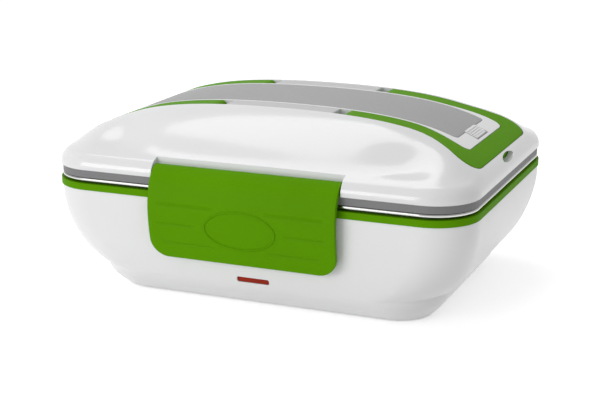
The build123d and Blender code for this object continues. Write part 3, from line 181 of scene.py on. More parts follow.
def plate(bm, outline, roundings=(), step=3.0, more=((), ())):
    """A flat sheet with an outline of few points, some rounded, sliced into a grid and at more places."""
    verts = [bm.verts.new((x, y, 0.0)) for x, y in outline]
    bm.faces.new(verts)
    for index, radius in roundings:
        bmesh.ops.bevel(
            bm, geom=[verts[index]], offset=radius, segments=8, profile=0.5, affect="VERTICES", material=-1
        )
    for axis in (0, 1):
        low = min(v.co[axis] for v in bm.verts)
        high = max(v.co[axis] for v in bm.verts)
        count = int((high - low) / step)
        normal = Vector((axis == 0, axis == 1, 0))
        places = [low + (high - low) * k / (count + 1) for k in range(1, count + 1)]
        for place_at in sorted([*places, *more[axis]]):
            at = normal * place_at
            geom = bm.verts[:] + bm.edges[:] + bm.faces[:]
            bmesh.ops.bisect_plane(bm, geom=geom, plane_co=at, plane_no=normal, dist=1e-5)


def drape(bm, top, bottom):
    """Turns a flat sheet into a slab between two heights, each a function of the place in plan."""
    made = bmesh.ops.extrude_face_region(bm, geom=bm.faces[:])["geom"]
    raised = [g for g in made if isinstance(g, bmesh.types.BMVert)]
    for v in set(bm.verts) - set(raised):
        v.co.z = bottom(v.co.x, v.co.y)
    for v in raised:
        v.co.z = top(v.co.x, v.co.y)


def soften(bm, width, angle=40.0, steps=3, keep=lambda edge: True):
    """Rounds every edge sharper than an angle."""
    sharp = [
        e for e in bm.edges
        if len(e.link_faces) == 2 and e.calc_face_angle(0.0) > math.radians(angle) and keep(e)
    ]
    bmesh.ops.bevel(
        bm, geom=sharp, offset=width, segments=steps, profile=0.5, affect="EDGES", clamp_overlap=True,
        material=-1,
    )


def finish(name, bm, body, nodes, material, sharp=35.0):
    """Makes a mesh worked in millimetres into a piece that stands for its CAD nodes."""
    bmesh.ops.remove_doubles(bm, verts=bm.verts[:], dist=1e-4)
    bmesh.ops.recalc_face_normals(bm, faces=bm.faces[:])
    bmesh.ops.scale(bm, vec=(MM, MM, MM), verts=bm.verts[:])
    for face in bm.faces:
        face.smooth = True
    for edge in bm.edges:
        edge.smooth = edge.calc_face_angle(0.0) < math.radians(sharp)
    mesh = bpy.data.meshes.new(name)
    bm.to_mesh(mesh)
    bm.free()
    piece = bpy.data.objects.new(name, mesh)
    bpy.context.scene.collection.objects.link(piece)
    piece.data.materials.append(material)
    if nodes:
        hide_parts(*nodes)
    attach(piece, body)
    return piece


def cut(bm, cutters, joined=False):
    """Takes solid cutters away from a solid, or from solids joined through each other, exactly."""
    body_mesh = bpy.data.meshes.new("blank")
    bm.to_mesh(body_mesh)
    blank = bpy.data.objects.new("blank", body_mesh)
    bpy.context.scene.collection.objects.link(blank)
    for cutter in cutters:
        bmesh.ops.recalc_face_normals(cutter, faces=cutter.faces[:])
        tool_mesh = bpy.data.meshes.new("cutter")
        cutter.to_mesh(tool_mesh)
        cutter.free()
        tool = bpy.data.objects.new("cutter", tool_mesh)
        bpy.context.scene.collection.objects.link(tool)
        less = blank.modifiers.new("less", "BOOLEAN")
        less.operation, less.solver, less.object = "DIFFERENCE", "EXACT", tool
        less.use_self = joined
        view = bpy.context.evaluated_depsgraph_get()
        result = bpy.data.meshes.new_from_object(blank.evaluated_get(view))
        blank.modifiers.clear()
        blank.data = result
        bpy.data.objects.remove(tool)
    bm.clear()
    bm.from_mesh(blank.data)
    bpy.data.objects.remove(blank)


def block(low, high, radius=0.0):
    """A box, upright corners rounded if asked, as a new mesh."""
    bm = bmesh.new()
    centre = [(a + b) / 2 for a, b in zip(low, high)]
    size = [b - a for a, b in zip(low, high)]
    bmesh.ops.create_cube(bm, size=1.0)
    bmesh.ops.scale(bm, vec=size, verts=bm.verts[:])
    bmesh.ops.translate(bm, vec=centre, verts=bm.verts[:])
    if radius:
        upright = [e for e in bm.edges if abs(e.verts[0].co.z - e.verts[1].co.z) > 1e-6]
        bmesh.ops.bevel(
            bm, geom=upright, offset=radius, segments=8, profile=0.5, affect="EDGES", material=-1
        )
    return bm


def rod(radii, length, centre, axis, segments=48):
    """A cylinder, round or oval, along x or y, as a new mesh."""
    bm = bmesh.new()
    bmesh.ops.create_cone(
        bm, cap_ends=True, segments=segments, radius1=1.0, radius2=1.0, depth=length
    )
    bmesh.ops.scale(bm, vec=(radii[0], radii[1], 1.0), verts=bm.verts[:])
    turn = Matrix.Rotation(math.pi / 2, 3, "Y") @ Matrix.Rotation(math.pi / 2, 3, "Z")
    if axis == "Y":
        turn = Matrix.Rotation(math.pi / 2, 3, "X")
    bmesh.ops.rotate(bm, cent=(0, 0, 0), matrix=turn, verts=bm.verts[:])
    bmesh.ops.translate(bm, vec=centre, verts=bm.verts[:])
    return bm


# ------------------------------------------------------------------ material helpers
def place(tree, kind, inputs=None, **fields):
    """Adds a node, sets its fields, and sets or links its sockets."""
    made = tree.nodes.new(kind)
    for field, value in fields.items():
        setattr(made, field, value)
    for socket, value in (inputs or {}).items():
        if isinstance(value, bpy.types.NodeSocket):
            tree.links.new(value, made.inputs[socket])
        else:
            made.inputs[socket].default_value = value
    return made


def effect(name, takes, gives):
    """An empty shader node group with named sockets, and its input and output nodes."""
    tree = bpy.data.node_groups.new(name, "ShaderNodeTree")
    for label, kind, value in takes:
        socket = tree.interface.new_socket(name=label, in_out="INPUT", socket_type=kind)
        socket.default_value = value
    for label, kind in gives:
        tree.interface.new_socket(name=label, in_out="OUTPUT", socket_type=kind)
    return tree, tree.nodes.new("NodeGroupInput"), tree.nodes.new("NodeGroupOutput")


def moulded_skin():
    """Moulded plastic: slow drifts of tone and gloss, and a fine grain in the surface."""
    tree, take, give = effect(
        "moulded_skin",
        [
            ("Colour", "NodeSocketColor", (0.8, 0.8, 0.8, 1)),
            ("Drift Colour", "NodeSocketColor", (0.75, 0.75, 0.75, 1)),
            ("Drift Scale", "NodeSocketFloat", 14.0),
            ("Grain Scale", "NodeSocketFloat", 1500.0),
            ("Grain Height", "NodeSocketFloat", 0.1),
            ("Gloss Rough", "NodeSocketFloat", 0.22),
            ("Matt Rough", "NodeSocketFloat", 0.3),
        ],
        [("Colour", "NodeSocketColor"), ("Roughness", "NodeSocketFloat"), ("Normal", "NodeSocketVector")],
    )
    where = place(tree, "ShaderNodeTexCoord").outputs["Object"]
    drift = place(
        tree, "ShaderNodeTexNoise", {"Vector": where, "Scale": take.outputs["Drift Scale"], "Detail": 3.0}
    ).outputs["Fac"]
    grain = place(
        tree, "ShaderNodeTexNoise", {"Vector": where, "Scale": take.outputs["Grain Scale"], "Detail": 2.0}
    ).outputs["Fac"]
    tone = place(
        tree, "ShaderNodeMapRange",
        {"Value": drift, "From Min": 0.35, "From Max": 0.7, "To Min": 0.0, "To Max": 1.0},
    ).outputs["Result"]
    colour = place(tree, "ShaderNodeMix", data_type="RGBA")
    tree.links.new(tone, colour.inputs["Factor"])
    tree.links.new(take.outputs["Colour"], colour.inputs[6])
    tree.links.new(take.outputs["Drift Colour"], colour.inputs[7])
    rough = place(
        tree, "ShaderNodeMapRange",
        {
            "Value": grain, "From Min": 0.3, "From Max": 0.7,
            "To Min": take.outputs["Gloss Rough"], "To Max": take.outputs["Matt Rough"],
        },
    ).outputs["Result"]
    bump = place(
        tree, "ShaderNodeBump",
        {"Height": grain, "Strength": take.outputs["Grain Height"], "Distance": 0.0003},
    ).outputs["Normal"]
    tree.links.new(colour.outputs[2], give.inputs["Colour"])
    tree.links.new(rough, give.inputs["Roughness"])
    tree.links.new(bump, give.inputs["Normal"])
    return tree


def rolled_metal():
    """Rolled sheet metal: long fine streaks in gloss, tone and surface."""
    tree, take, give = effect(
        "rolled_metal",
        [
            ("Colour", "NodeSocketColor", (0.7, 0.7, 0.7, 1)),
            ("Streak Colour", "NodeSocketColor", (0.6, 0.6, 0.6, 1)),
            ("Streak Scale", "NodeSocketFloat", 60.0),
            ("Streak Length", "NodeSocketVector", (1.0, 12.0, 12.0)),
            ("Streak Height", "NodeSocketFloat", 0.1),
            ("Gloss Rough", "NodeSocketFloat", 0.1),
            ("Matt Rough", "NodeSocketFloat", 0.25),
        ],
        [("Colour", "NodeSocketColor"), ("Roughness", "NodeSocketFloat"), ("Normal", "NodeSocketVector")],
    )
    where = place(tree, "ShaderNodeTexCoord").outputs["Object"]
    stretched = place(
        tree, "ShaderNodeVectorMath", {0: where, 1: take.outputs["Streak Length"]}, operation="MULTIPLY"
    ).outputs["Vector"]
    streak = place(
        tree, "ShaderNodeTexNoise",
        {"Vector": stretched, "Scale": take.outputs["Streak Scale"], "Detail": 6.0, "Roughness": 0.65},
    ).outputs["Fac"]
    colour = place(tree, "ShaderNodeMix", data_type="RGBA")
    tree.links.new(streak, colour.inputs["Factor"])
    tree.links.new(take.outputs["Colour"], colour.inputs[6])
    tree.links.new(take.outputs["Streak Colour"], colour.inputs[7])
    rough = place(
        tree, "ShaderNodeMapRange",
        {
            "Value": streak, "From Min": 0.3, "From Max": 0.7,
            "To Min": take.outputs["Gloss Rough"], "To Max": take.outputs["Matt Rough"],
        },
    ).outputs["Result"]
    bump = place(
        tree, "ShaderNodeBump",
        {"Height": streak, "Strength": take.outputs["Streak Height"], "Distance": 0.0002},
    ).outputs["Normal"]
    tree.links.new(colour.outputs[2], give.inputs["Colour"])
    tree.links.new(rough, give.inputs["Roughness"])
    tree.links.new(bump, give.inputs["Normal"])
    return tree


SKIN = moulded_skin()
METAL = rolled_metal()


def surface(name, group, values, shader):
    """A Principled material whose colour, roughness and normal come from an effect group."""
    material = bpy.data.materials.new(name)
    material.use_nodes = True
    tree = material.node_tree
    principled = tree.nodes["Principled BSDF"]
    source = place(tree, "ShaderNodeGroup", node_tree=group)
    for label, value in values.items():
        source.inputs[label].default_value = value
    tree.links.new(source.outputs["Colour"], principled.inputs["Base Color"])
    tree.links.new(source.outputs["Roughness"], principled.inputs["Roughness"])
    tree.links.new(source.outputs["Normal"], principled.inputs["Normal"])
    for label, value in shader.items():
        principled.inputs[label].default_value = value
    return material


def plastic(name, colour, drift=0.95, grain=(1500.0, 0.08), rough=(0.2, 0.28), **shader):
    """Moulded plastic of one colour."""
    return surface(
        name, SKIN,
        {
            "Colour": (*colour, 1), "Drift Colour": (*[c * drift for c in colour], 1),
            "Grain Scale": grain[0], "Grain Height": grain[1],
            "Gloss Rough": rough[0], "Matt Rough": rough[1],
        },
        shader,
    )


def metal(name, colour, dark=0.85, scale=60.0, length=(1.0, 12.0, 12.0), rough=(0.1, 0.22), height=0.08):
    """Metal of one colour with streaks of its making."""
    return surface(
        name, METAL,
        {
            "Colour": (*colour, 1), "Streak Colour": (*[c * dark for c in colour], 1),
            "Streak Scale": scale, "Streak Length": length, "Streak Height": height,
            "Gloss Rough": rough[0], "Matt Rough": rough[1],
        },
        {"Metallic": 1.0},
    )


RIM_BEAD_Z = (65.05, 67.25)  # bottom and top of the container's rolled rim
BEAD_EDGE = 0.3  # how far below it the painted dark bands may begin
LEVEL_FACE = 0.97  # a face whose normal is more upright than this gets none of the painted bands
# share of the rim's height, and how strongly the painted shade and painted dark reflections darken the metal
# there
BEAD_PAINTED_BANDS = ((0.0, 1.0), (0.05, 0.9), (0.3, 0.05), (0.55, 0.0), (0.7, 0.75), (0.85, 0.45), (1.0, 0.95))


def rim_painted_shade_reflection():
    """Bright metal with painted dark bands on the rolled rim: painted shade in the gap under it and painted
    dark reflections higher up; its level faces stay unpainted.
    """
    tree, take, give = effect(
        "rim_painted_shade_reflection",
        [
            ("Colour", "NodeSocketColor", (0.7, 0.7, 0.7, 1)),
            ("Shadow", "NodeSocketColor", (0.05, 0.05, 0.05, 1)),
        ],
        [("Colour", "NodeSocketColor")],
    )
    where = place(tree, "ShaderNodeTexCoord")
    height = place(tree, "ShaderNodeSeparateXYZ", {"Vector": where.outputs["Object"]}).outputs["Z"]
    tilt = place(tree, "ShaderNodeSeparateXYZ", {"Vector": where.outputs["Normal"]}).outputs["Z"]
    upright = place(tree, "ShaderNodeMath", {0: tilt}, operation="ABSOLUTE").outputs[0]
    steep = place(tree, "ShaderNodeMath", {0: upright, 1: LEVEL_FACE}, operation="LESS_THAN")
    low, high = (edge * MM for edge in RIM_BEAD_Z)
    level = place(
        tree, "ShaderNodeMapRange", {"Value": height, "From Min": low, "From Max": high}
    ).outputs["Result"]
    ramp = place(tree, "ShaderNodeValToRGB", {"Fac": level})
    for at, dark in BEAD_PAINTED_BANDS[1:-1]:
        ramp.color_ramp.elements.new(at)
    for element, (at, dark) in zip(ramp.color_ramp.elements, BEAD_PAINTED_BANDS):
        element.position, element.color = at, (dark, dark, dark, 1)
    start = (RIM_BEAD_Z[0] - BEAD_EDGE) * MM
    inside = place(tree, "ShaderNodeMath", {0: height, 1: start}, operation="GREATER_THAN").outputs[0]
    # painted shade and painted dark reflections, kept to the rim and the gap just under it
    painted_dark = place(tree, "ShaderNodeMath", {0: ramp.outputs["Color"], 1: inside}, operation="MULTIPLY")
    amount = place(tree, "ShaderNodeMath", {0: painted_dark.outputs[0], 1: steep.outputs[0]}, operation="MULTIPLY")
    colour = place(tree, "ShaderNodeMix", {"Factor": amount.outputs[0]}, data_type="RGBA")
    tree.links.new(take.outputs["Colour"], colour.inputs[6])
    tree.links.new(take.outputs["Shadow"], colour.inputs[7])
    tree.links.new(colour.outputs[2], give.inputs["Colour"])
    return tree


COAT = {"Coat Weight": 0.25, "Coat Roughness": 0.08}
finishes = {
    "base_white": plastic("base_white", (0.86, 0.86, 0.865), 0.97, rough=(0.28, 0.36), **COAT),
    "pan_white": plastic("pan_white", (0.87, 0.87, 0.875), 0.97, rough=(0.28, 0.36), **COAT),
    "lid_white": plastic("lid_white", (0.82, 0.82, 0.83), 0.98, rough=(0.14, 0.2), **COAT),
    "green": plastic(
        "green", (0.112, 0.33, 0.0), 0.93, grain=(900.0, 0.12), rough=(0.5, 0.62),
        **{"Specular IOR Level": 0.04},
    ),
    "cover_grey": plastic("cover_grey", (0.35, 0.35, 0.352), 0.93, grain=(1100.0, 0.3), rough=(0.4, 0.52)),
    "rail_grey": plastic("rail_grey", (0.56, 0.56, 0.57), 0.96, grain=(1100.0, 0.25), rough=(0.36, 0.48)),
    "seal_grey": plastic("seal_grey", (0.205, 0.205, 0.21), 0.9, grain=(700.0, 0.2), rough=(0.5, 0.62)),
    "tub_grey": plastic("tub_grey", (0.52, 0.53, 0.54), 0.95, rough=(0.35, 0.45)),
    "steel": metal("steel", (0.74, 0.74, 0.73)),
    "bowl_plastic": plastic("bowl_plastic", (0.74, 0.77, 0.77), 0.96, rough=(0.25, 0.34)),
    "plate_metal": metal(
        "plate_metal", (0.70, 0.70, 0.71), scale=200.0, length=(1, 1, 1), rough=(0.4, 0.55), height=0.3
    ),
    "element_ceramic": plastic(
        "element_ceramic", (0.72, 0.64, 0.50), 0.85, grain=(600.0, 0.4), rough=(0.6, 0.75)
    ),
    "zinc": metal("zinc", (0.62, 0.62, 0.60), scale=300.0, length=(1, 1, 1), rough=(0.28, 0.4)),
    "cutout_black": plastic("cutout_black", (0.03, 0.03, 0.03), 0.8, rough=(0.4, 0.5)),
    "lamp_red": plastic(
        "lamp_red", (0.40, 0.022, 0.004), 0.5, grain=(500.0, 0.2), rough=(0.2, 0.3),
        **{"Specular IOR Level": 0.15},
    ),
    "bulb_glass": plastic("bulb_glass", (0.9, 0.55, 0.35), 0.9, rough=(0.05, 0.1)),
    "inlet_black": plastic("inlet_black", (0.018, 0.018, 0.02), 0.8, grain=(900.0, 0.2), rough=(0.35, 0.5)),
    "contact_brass": metal("contact_brass", (0.78, 0.60, 0.30), scale=150.0),
    "wire_insulation": plastic(
        "wire_insulation", (0.62, 0.58, 0.50), 0.9, grain=(400.0, 0.3), rough=(0.45, 0.6)
    ),
    "foot_rubber": plastic("foot_rubber", (0.05, 0.05, 0.05), 0.8, grain=(700.0, 0.4), rough=(0.6, 0.8)),
    "pin_steel": metal("pin_steel", (0.62, 0.62, 0.62), scale=120.0),
}
# the steel's colour is darkened in painted bands on the container's rolled rim: painted shade in the gap
# under it and painted dark reflections
rim_tree = finishes["steel"].node_tree
rim = place(rim_tree, "ShaderNodeGroup", node_tree=rim_painted_shade_reflection())
skin_source = next(n for n in rim_tree.nodes if n.type == "GROUP" and n != rim)
rim_tree.links.new(skin_source.outputs["Colour"], rim.inputs["Colour"])
rim_tree.links.new(rim.outputs["Colour"], rim_tree.nodes["Principled BSDF"].inputs["Base Color"])
slots = {part["node"]: part["material_slot"] for part in frame["record"]["subparts"]}
for name, node in frame["nodes"].items():
    for material_slot in node.material_slots:
        material_slot.material = finishes[slots[name]]


# ------------------------------------------------------------------ lid
def spread_edge(start_x, end_x, near, far, slope, share):
    """Points of a curve that leaves level at start_x, up to a share of its way, and its end point."""
    third = (end_x - start_x) / 3
    hold = [
        Vector((start_x, near)), Vector((start_x + third, near)),
        Vector((end_x - third, far - slope * third)), Vector((end_x, far)),
    ]
    count = 8
    parts = [k / count for k in range(int(count * share) + 1)] + [1.0]
    weights = [((1 - t) ** 3, 3 * t * (1 - t) ** 2, 3 * t * t * (1 - t), t**3) for t in parts]
    return [sum((p * w for p, w in zip(hold, four)), Vector((0, 0))) for four in weights]


def handle_outline(grow):
    """The right handle from above, few points, grown all round; and which corners are rounded."""
    corner = grow * (FLARE_SLOPE + math.hypot(1, FLARE_SLOPE))
    cross_in = CROSS_OUT - CROSS_W
    outer = spread_edge(
        CROSS_OUT - FLARE_OUT, CROSS_OUT + grow, ARM_OUT + grow, CROSS_HALF + corner, FLARE_SLOPE, 0.5
    )
    inner = spread_edge(cross_in - FLARE_IN, cross_in - grow, ARM_IN - grow, CROSS_IN_HALF - grow, 0.0, 0.75)
    points = [(PIVOT_X, -ARM_OUT - grow)] + [(p.x, -p.y) for p in outer]
    first_outer = len(points) - 1
    points += [(p.x, p.y) for p in reversed(outer)] + [(PIVOT_X, ARM_OUT + grow), (PIVOT_X, ARM_IN - grow)]
    points += [(p.x, p.y) for p in inner]
    first_inner = len(points) - 1
    points += [(p.x, -p.y) for p in reversed(inner)] + [(PIVOT_X, grow - ARM_IN)]
    return points, [
        (first_outer, OUTER_ROUND), (first_outer + 1, OUTER_ROUND),
        (first_inner, INNER_ROUND - grow), (first_inner + 1, INNER_ROUND - grow),
    ]


def cover_outline(grow):
    """The spoon cover from above: a long plate with a thumb tab at its right end."""
    end, half, tab = COVER_END + grow, COVER_HALF + grow, TAB_HALF + grow
    points = [
        (-end, -half), (end, -half), (end, -tab), (end + TAB_L, -tab), (end + TAB_L, tab),
        (end, tab), (end, half), (-end, half),
    ]
    return points, [(corner, COVER_CORNER) for corner in (0, 1, 6, 7)]


def below(depth):
    """A surface a depth under the lid's top."""
    return lambda x, y: lid_top(x, y) - depth


def sky(x, y):
    """A level above the whole lid."""
    return CROWN_Z + SKY


def slab(outline, roundings, top, bottom, mirror_x=False, step=3.0, more=((), ())):
    """A draped slab as a new mesh, turned over to the left end if asked."""
    bm = bmesh.new()
    plate(bm, outline, roundings, step, more)
    drape(bm, top, bottom)
    if mirror_x:
        bmesh.ops.scale(bm, vec=(-1, 1, 1), verts=bm.verts[:])
    bmesh.ops.recalc_face_normals(bm, faces=bm.faces[:])
    return bm


ARM_MID = (ARM_IN + ARM_OUT) / 2
ARM_HALF = (ARM_OUT - ARM_IN) / 2 + SLIP  # half the groove an arm lies in
PIVOT_Z = crown(PIVOT_X, ARM_MID) - PIVOT_R
ROUND_RINGS, CROWN_RINGS, RING_STEP = 9, 38, 1.9
RING_INSETS = [RIM_ROUND * (1 - math.cos(math.pi / 2 * k / ROUND_RINGS)) for k in range(ROUND_RINGS + 1)]
RING_INSETS += [5.2, 6.0, 7.0, 8.0, 9.2, 10.5] + [12.0 + RING_STEP * k for k in range(CROWN_RINGS)]
LID_FOOT, LID_WALL, PANEL_DEPTH = 0.3, 2.3, 2.1  # bevel under the rim, wall there, hollow for the panel


def rim_ring(bm, inset, height, **kw):
    """A ring of edges parallel to the rim."""
    return rounded_ring(bm, HALF_L - inset, HALF_W - inset, max(CORNER - inset, 0.8), height, **kw)


def lid_block():
    """The lid as one solid, crowned above and hollow only where the inner panel sits."""
    bm = bmesh.new()
    cuts = {"steps": 10, "cuts": (48, 30)}
    rings = [rim_ring(bm, inset, 0.0, **cuts) for inset in RING_INSETS]
    loft(bm, rings)
    cap(bm, rings[-1])
    for v in bm.verts:
        v.co.z = lid_top(v.co.x, v.co.y)
    section = (
        (0.0, LID_Z + LID_FOOT), (LID_FOOT, LID_Z), (LID_WALL, LID_Z), (LID_WALL, LID_Z + PANEL_DEPTH),
    )
    under = [rim_ring(bm, inset, height, **cuts) for inset, height in section]
    loft(bm, [rings[0], *under])
    cap(bm, under[-1])
    bmesh.ops.recalc_face_normals(bm, faces=bm.faces[:])
    return bm


lid = lid_block()
groove = HANDLE_T + GROOVE_SLACK
notch_x = CROSS_OUT - NOTCH_INSET + NOTCH_RUN / 2
notch_z = crown(CROSS_OUT, 0) - HANDLE_T + NOTCH_LIFT
cutters = []
for left in (False, True):
    cutters.append(slab(*handle_outline(SLIP), sky, below(groove), left))
cutters.append(slab(*cover_outline(SLIP), sky, below(COVER_T + SEAT_SLACK)))
reach_x = PIVOT_X + RAIL_LAP
for side in (-1, 1):
    low, high = side * ARM_MID - ARM_HALF, side * ARM_MID + ARM_HALF
    rail_plan = [(-reach_x, low), (reach_x, low), (reach_x, high), (-reach_x, high)]
    cutters.append(slab(rail_plan, [], sky, below(groove)))
    for end in (-1, 1):
        reach = sorted((end * RAIL_END, end * (PIVOT_X + ARM_ROOM)))
        floor_z = PIVOT_Z - PIVOT_R - SLIP
        cutters.append(block((reach[0], low, floor_z), (reach[1], high, CROWN_Z + SKY)))
tray_top = (TRAY_HALF_X, TRAY_HALF_Y, CROWN_Z + SKY)
cutters.append(block((-TRAY_HALF_X, -TRAY_HALF_Y, TRAY_Z), tray_top, TRAY_ROUND))
cutters.append(rod((HINGE_ROOM, HINGE_ROOM), 2 * (COVER_HALF + SLIP), (HINGE_X, 0, HINGE_Z), "Y"))
clear = LATCH_HALF + LATCH_GAP
for side in (-1, 1):
    inner, outer = sorted((side * (HALF_W - POCKET_DEPTH), side * (HALF_W + POCKET_BEYOND)))
    cutters.append(block((-clear, inner, LID_Z - POCKET_BELOW), (clear, outer, CROWN_Z)))
    cutters.append(rod((NOTCH_HALF, NOTCH_RISE), NOTCH_RUN, (side * notch_x, 0, notch_z), "X"))
cut(lid, cutters)
finish("lid_shell_smooth", lid, "lid", ["lid_shell"], finishes["lid_white"])


def join(bm, other):
    """Adds another mesh's shape to this one and lets the other go."""
    held = bpy.data.meshes.new("held")
    other.to_mesh(held)
    other.free()
    bm.from_mesh(held)
    bpy.data.meshes.remove(held)


for name, left in (("right_handle", False), ("left_handle", True)):
    handle = slab(*handle_outline(0.0), below(0), below(HANDLE_T), left, 2.5)
    soften(handle, 0.7)
    sign = -1 if left else 1
    for side in (-1, 1):
        pivot = (sign * PIVOT_X, side * ARM_MID, PIVOT_Z)
        join(handle, rod((PIVOT_R, PIVOT_R), ARM_OUT - ARM_IN, pivot, "Y"))
    bore = rod((PIN_R, PIN_R), 2 * (ARM_OUT + PIN_OVERRUN), (sign * PIVOT_X, 0, PIVOT_Z), "Y")
    cut(handle, [bore], joined=True)
    finish(name + "_rounded", handle, name, [name], finishes["green"])

for name, side in (("front_rail", -1), ("rear_rail", 1)):
    low, high = side * ARM_MID - ARM_HALF + RAIL_GAP, side * ARM_MID + ARM_HALF - RAIL_GAP
    plan = [(-RAIL_END, low), (RAIL_END, low), (RAIL_END, high), (-RAIL_END, high)]
    rail = slab(plan, [], below(0), below(groove))
    soften(rail, 0.6)
    finish(name + "_rounded", rail, "lid", [name], finishes["rail_grey"])


# ------------------------------------------------------------------ spoon cover
cover = slab(*cover_outline(0.0), below(0), below(COVER_T))
soften(cover, 0.4)
join(cover, rod((HINGE_R, HINGE_R), 2 * (COVER_HALF - HINGE_END_GAP), (HINGE_X, 0, HINGE_Z), "Y"))
bore = rod((COVER_PIN_R, COVER_PIN_R), 2 * (COVER_HALF + PIN_OVERRUN), (HINGE_X, 0, HINGE_Z), "Y")
cut(cover, [bore], joined=True)
finish("spoon_cover_smooth", cover, "spoon_cover", ["spoon_cover"], finishes["cover_grey"])

TAB_MARGIN, TAB_LAP = 0.5, 0.6  # tab's top inset from the cover's own tab, and its lap onto the cover
TAB_PROUD, TAB_SUNK = 0.1, 0.8
RIBS, RIB_START, RIB_PITCH, RIB_W, RIB_MARGIN = 4, 1.1, 1.4, 0.75, 1.0
RIB_PROUD, RIB_SUNK = 0.75, 0.3
tab_low, tab_high, tab_half = COVER_END - TAB_LAP, COVER_END + TAB_L - TAB_MARGIN, TAB_HALF - TAB_MARGIN
tab = slab(
    [(tab_low, -tab_half), (tab_high, -tab_half), (tab_high, tab_half), (tab_low, tab_half)],
    [(0, 1.0), (1, 1.5), (2, 1.5), (3, 1.0)], below(-TAB_PROUD), below(TAB_SUNK),
)
soften(tab, 0.2)
rib_half = tab_half - RIB_MARGIN
for k in range(RIBS):
    rib_x = tab_low + RIB_START + RIB_PITCH * k
    rib = slab(
        [(rib_x, -rib_half), (rib_x + RIB_W, -rib_half), (rib_x + RIB_W, rib_half), (rib_x, rib_half)],
        [], below(-RIB_PROUD), below(RIB_SUNK),
    )
    soften(rib, 0.22)
    join(tab, rib)
finish("cover_tab_ribs", tab, "spoon_cover", [], finishes["lid_white"])


# ------------------------------------------------------------------ latches
FLAP_OUTER = (
    (-31.0, 1.9), (-24.5, 3.5), (-17.0, 5.0), (-10.0, 5.9), (-3.0, 6.2), (5.0, 5.2), (11.2, 3.0),
    (15.8, -0.6), (18.0, -4.0),
)
FLAP_INNER = (
    (-31.0, 0.3), (-24.5, 1.2), (-17.0, 2.4), (-10.0, 3.3), (-3.0, 3.5), (4.0, 2.6), (9.2, 0.6), (11.4, -1.6),
    (12.4, -4.0), (18.0, -4.8),
)
GROOVES = ((-1.0, 12.5, 49.5), (-12.0, 23.0, 50.0), (-22.7, 13.5, 47.0))  # height, near end, far end
GROOVE_DEEP, GROOVE_HALF, GROOVE_TAPER = 0.55, 1.2, 4.0
OVAL_Z, OVAL_A, OVAL_B = -11.6, 20.0, 10.2
OVAL_SECTION = (  # round the oval's raised line: how far outside it, and how far above the face
    (0.75, -0.4), (0.55, 0.15), (0.2, 0.5), (-0.2, 0.5), (-0.55, 0.15), (-0.75, -0.4), (0.0, -0.8),
)
FLAP_LOW, FLAP_HIGH, FLAP_ROUND = -31.0, 17.9, 10.0
HOOK_LOW, HOOK_HIGH = (-43.0, -HALF_W - 3.3, 43.7), (43.0, -HALF_W - 0.3, 46.1)


def along(points, at):
    """A smooth curve through points, read at a place."""
    last = len(points) - 2
    k = max(i for i in range(last + 1) if i == 0 or points[i][0] <= at)
    (a, p), (b, q) = points[k], points[k + 1]
    t = min(max((at - a) / (b - a), 0.0), 1.0)
    before = (q - points[k - 1][1]) / (b - points[k - 1][0]) if k else (q - p) / (b - a)
    after = (points[k + 2][1] - p) / (points[k + 2][0] - a) if k < last else (q - p) / (b - a)
    m, n = before * (b - a), after * (b - a)
    return p + m * t + (3 * (q - p) - 2 * m - n) * t * t + (2 * (p - q) + m + n) * t**3


def flap_face(x, z):
    """How far the latch's outer face stands out from the rim, with its grooves."""
    sunk = 0.0
    for at, near, far in GROOVES:
        if abs(z - at) < GROOVE_HALF:
            ends = min(max(min(abs(x) - near, far - abs(x)) / GROOVE_TAPER, 0.0), 1.0)
            across = math.cos(math.pi / 2 * (z - at) / GROOVE_HALF) ** 2
            sunk = max(sunk, GROOVE_DEEP * across * ends * ends * (3 - 2 * ends))
    return along(FLAP_OUTER, z) - sunk


def stand_up(bm):
    """Turns a shape laid flat as (across, up, out) to stand at the box's front."""
    for v in bm.verts:
        x, up, out = v.co
        v.co = (x, -HALF_W - out, RIM_Z + up)


flap_plan = [
    (-LATCH_HALF, FLAP_LOW), (LATCH_HALF, FLAP_LOW), (LATCH_HALF, FLAP_HIGH), (-LATCH_HALF, FLAP_HIGH),
]
slices = [at + shift for at, near, far in GROOVES for shift in (-1.2, -0.8, -0.4, 0.0, 0.4, 0.8, 1.2)]
stops = [
    sign * (edge + inward * shift)
    for at, near, far in GROOVES
    for edge, inward in ((near, 1), (far, -1))
    for shift in (0.0, 1.3, 2.7, 4.0)
    for sign in (-1, 1)
]
for name, side in (("front_latch", -1), ("rear_latch", 1)):
    flap = slab(
        flap_plan, [(0, FLAP_ROUND), (1, FLAP_ROUND)], flap_face, lambda x, z: along(FLAP_INNER, z), step=2.5,
        more=(stops, slices),
    )
    soften(flap, 0.7, 50.0, 3)
    oval = bmesh.new()
    rings = []
    for grow, lift in OVAL_SECTION:
        ring = bmesh.ops.create_circle(oval, segments=96, radius=1.0)["verts"]
        for v in ring:
            v.co.x, v.co.y = v.co.x * (OVAL_A + grow), v.co.y * (OVAL_B + grow) + OVAL_Z
            v.co.z = along(FLAP_OUTER, v.co.y) + lift
        rings.append(list({e for v in ring for e in v.link_edges}))
    loft(oval, rings, closed=True)
    join(flap, oval)
    stand_up(flap)
    join(flap, rod((LATCH_BARREL, LATCH_BARREL), 2 * LATCH_HALF, (0, -LATCH_Y, LATCH_Z), "X"))
    join(flap, block(HOOK_LOW, HOOK_HIGH))
    bore = rod((LATCH_PIN_R, LATCH_PIN_R), 2 * (LATCH_HALF + PIN_OVERRUN), (0, -LATCH_Y, LATCH_Z), "X")
    cut(flap, [bore], joined=True)
    if side > 0:
        bmesh.ops.scale(flap, vec=(1, -1, 1), verts=flap.verts[:])
    finish(name + "_smooth", flap, name, [name], finishes["green"])


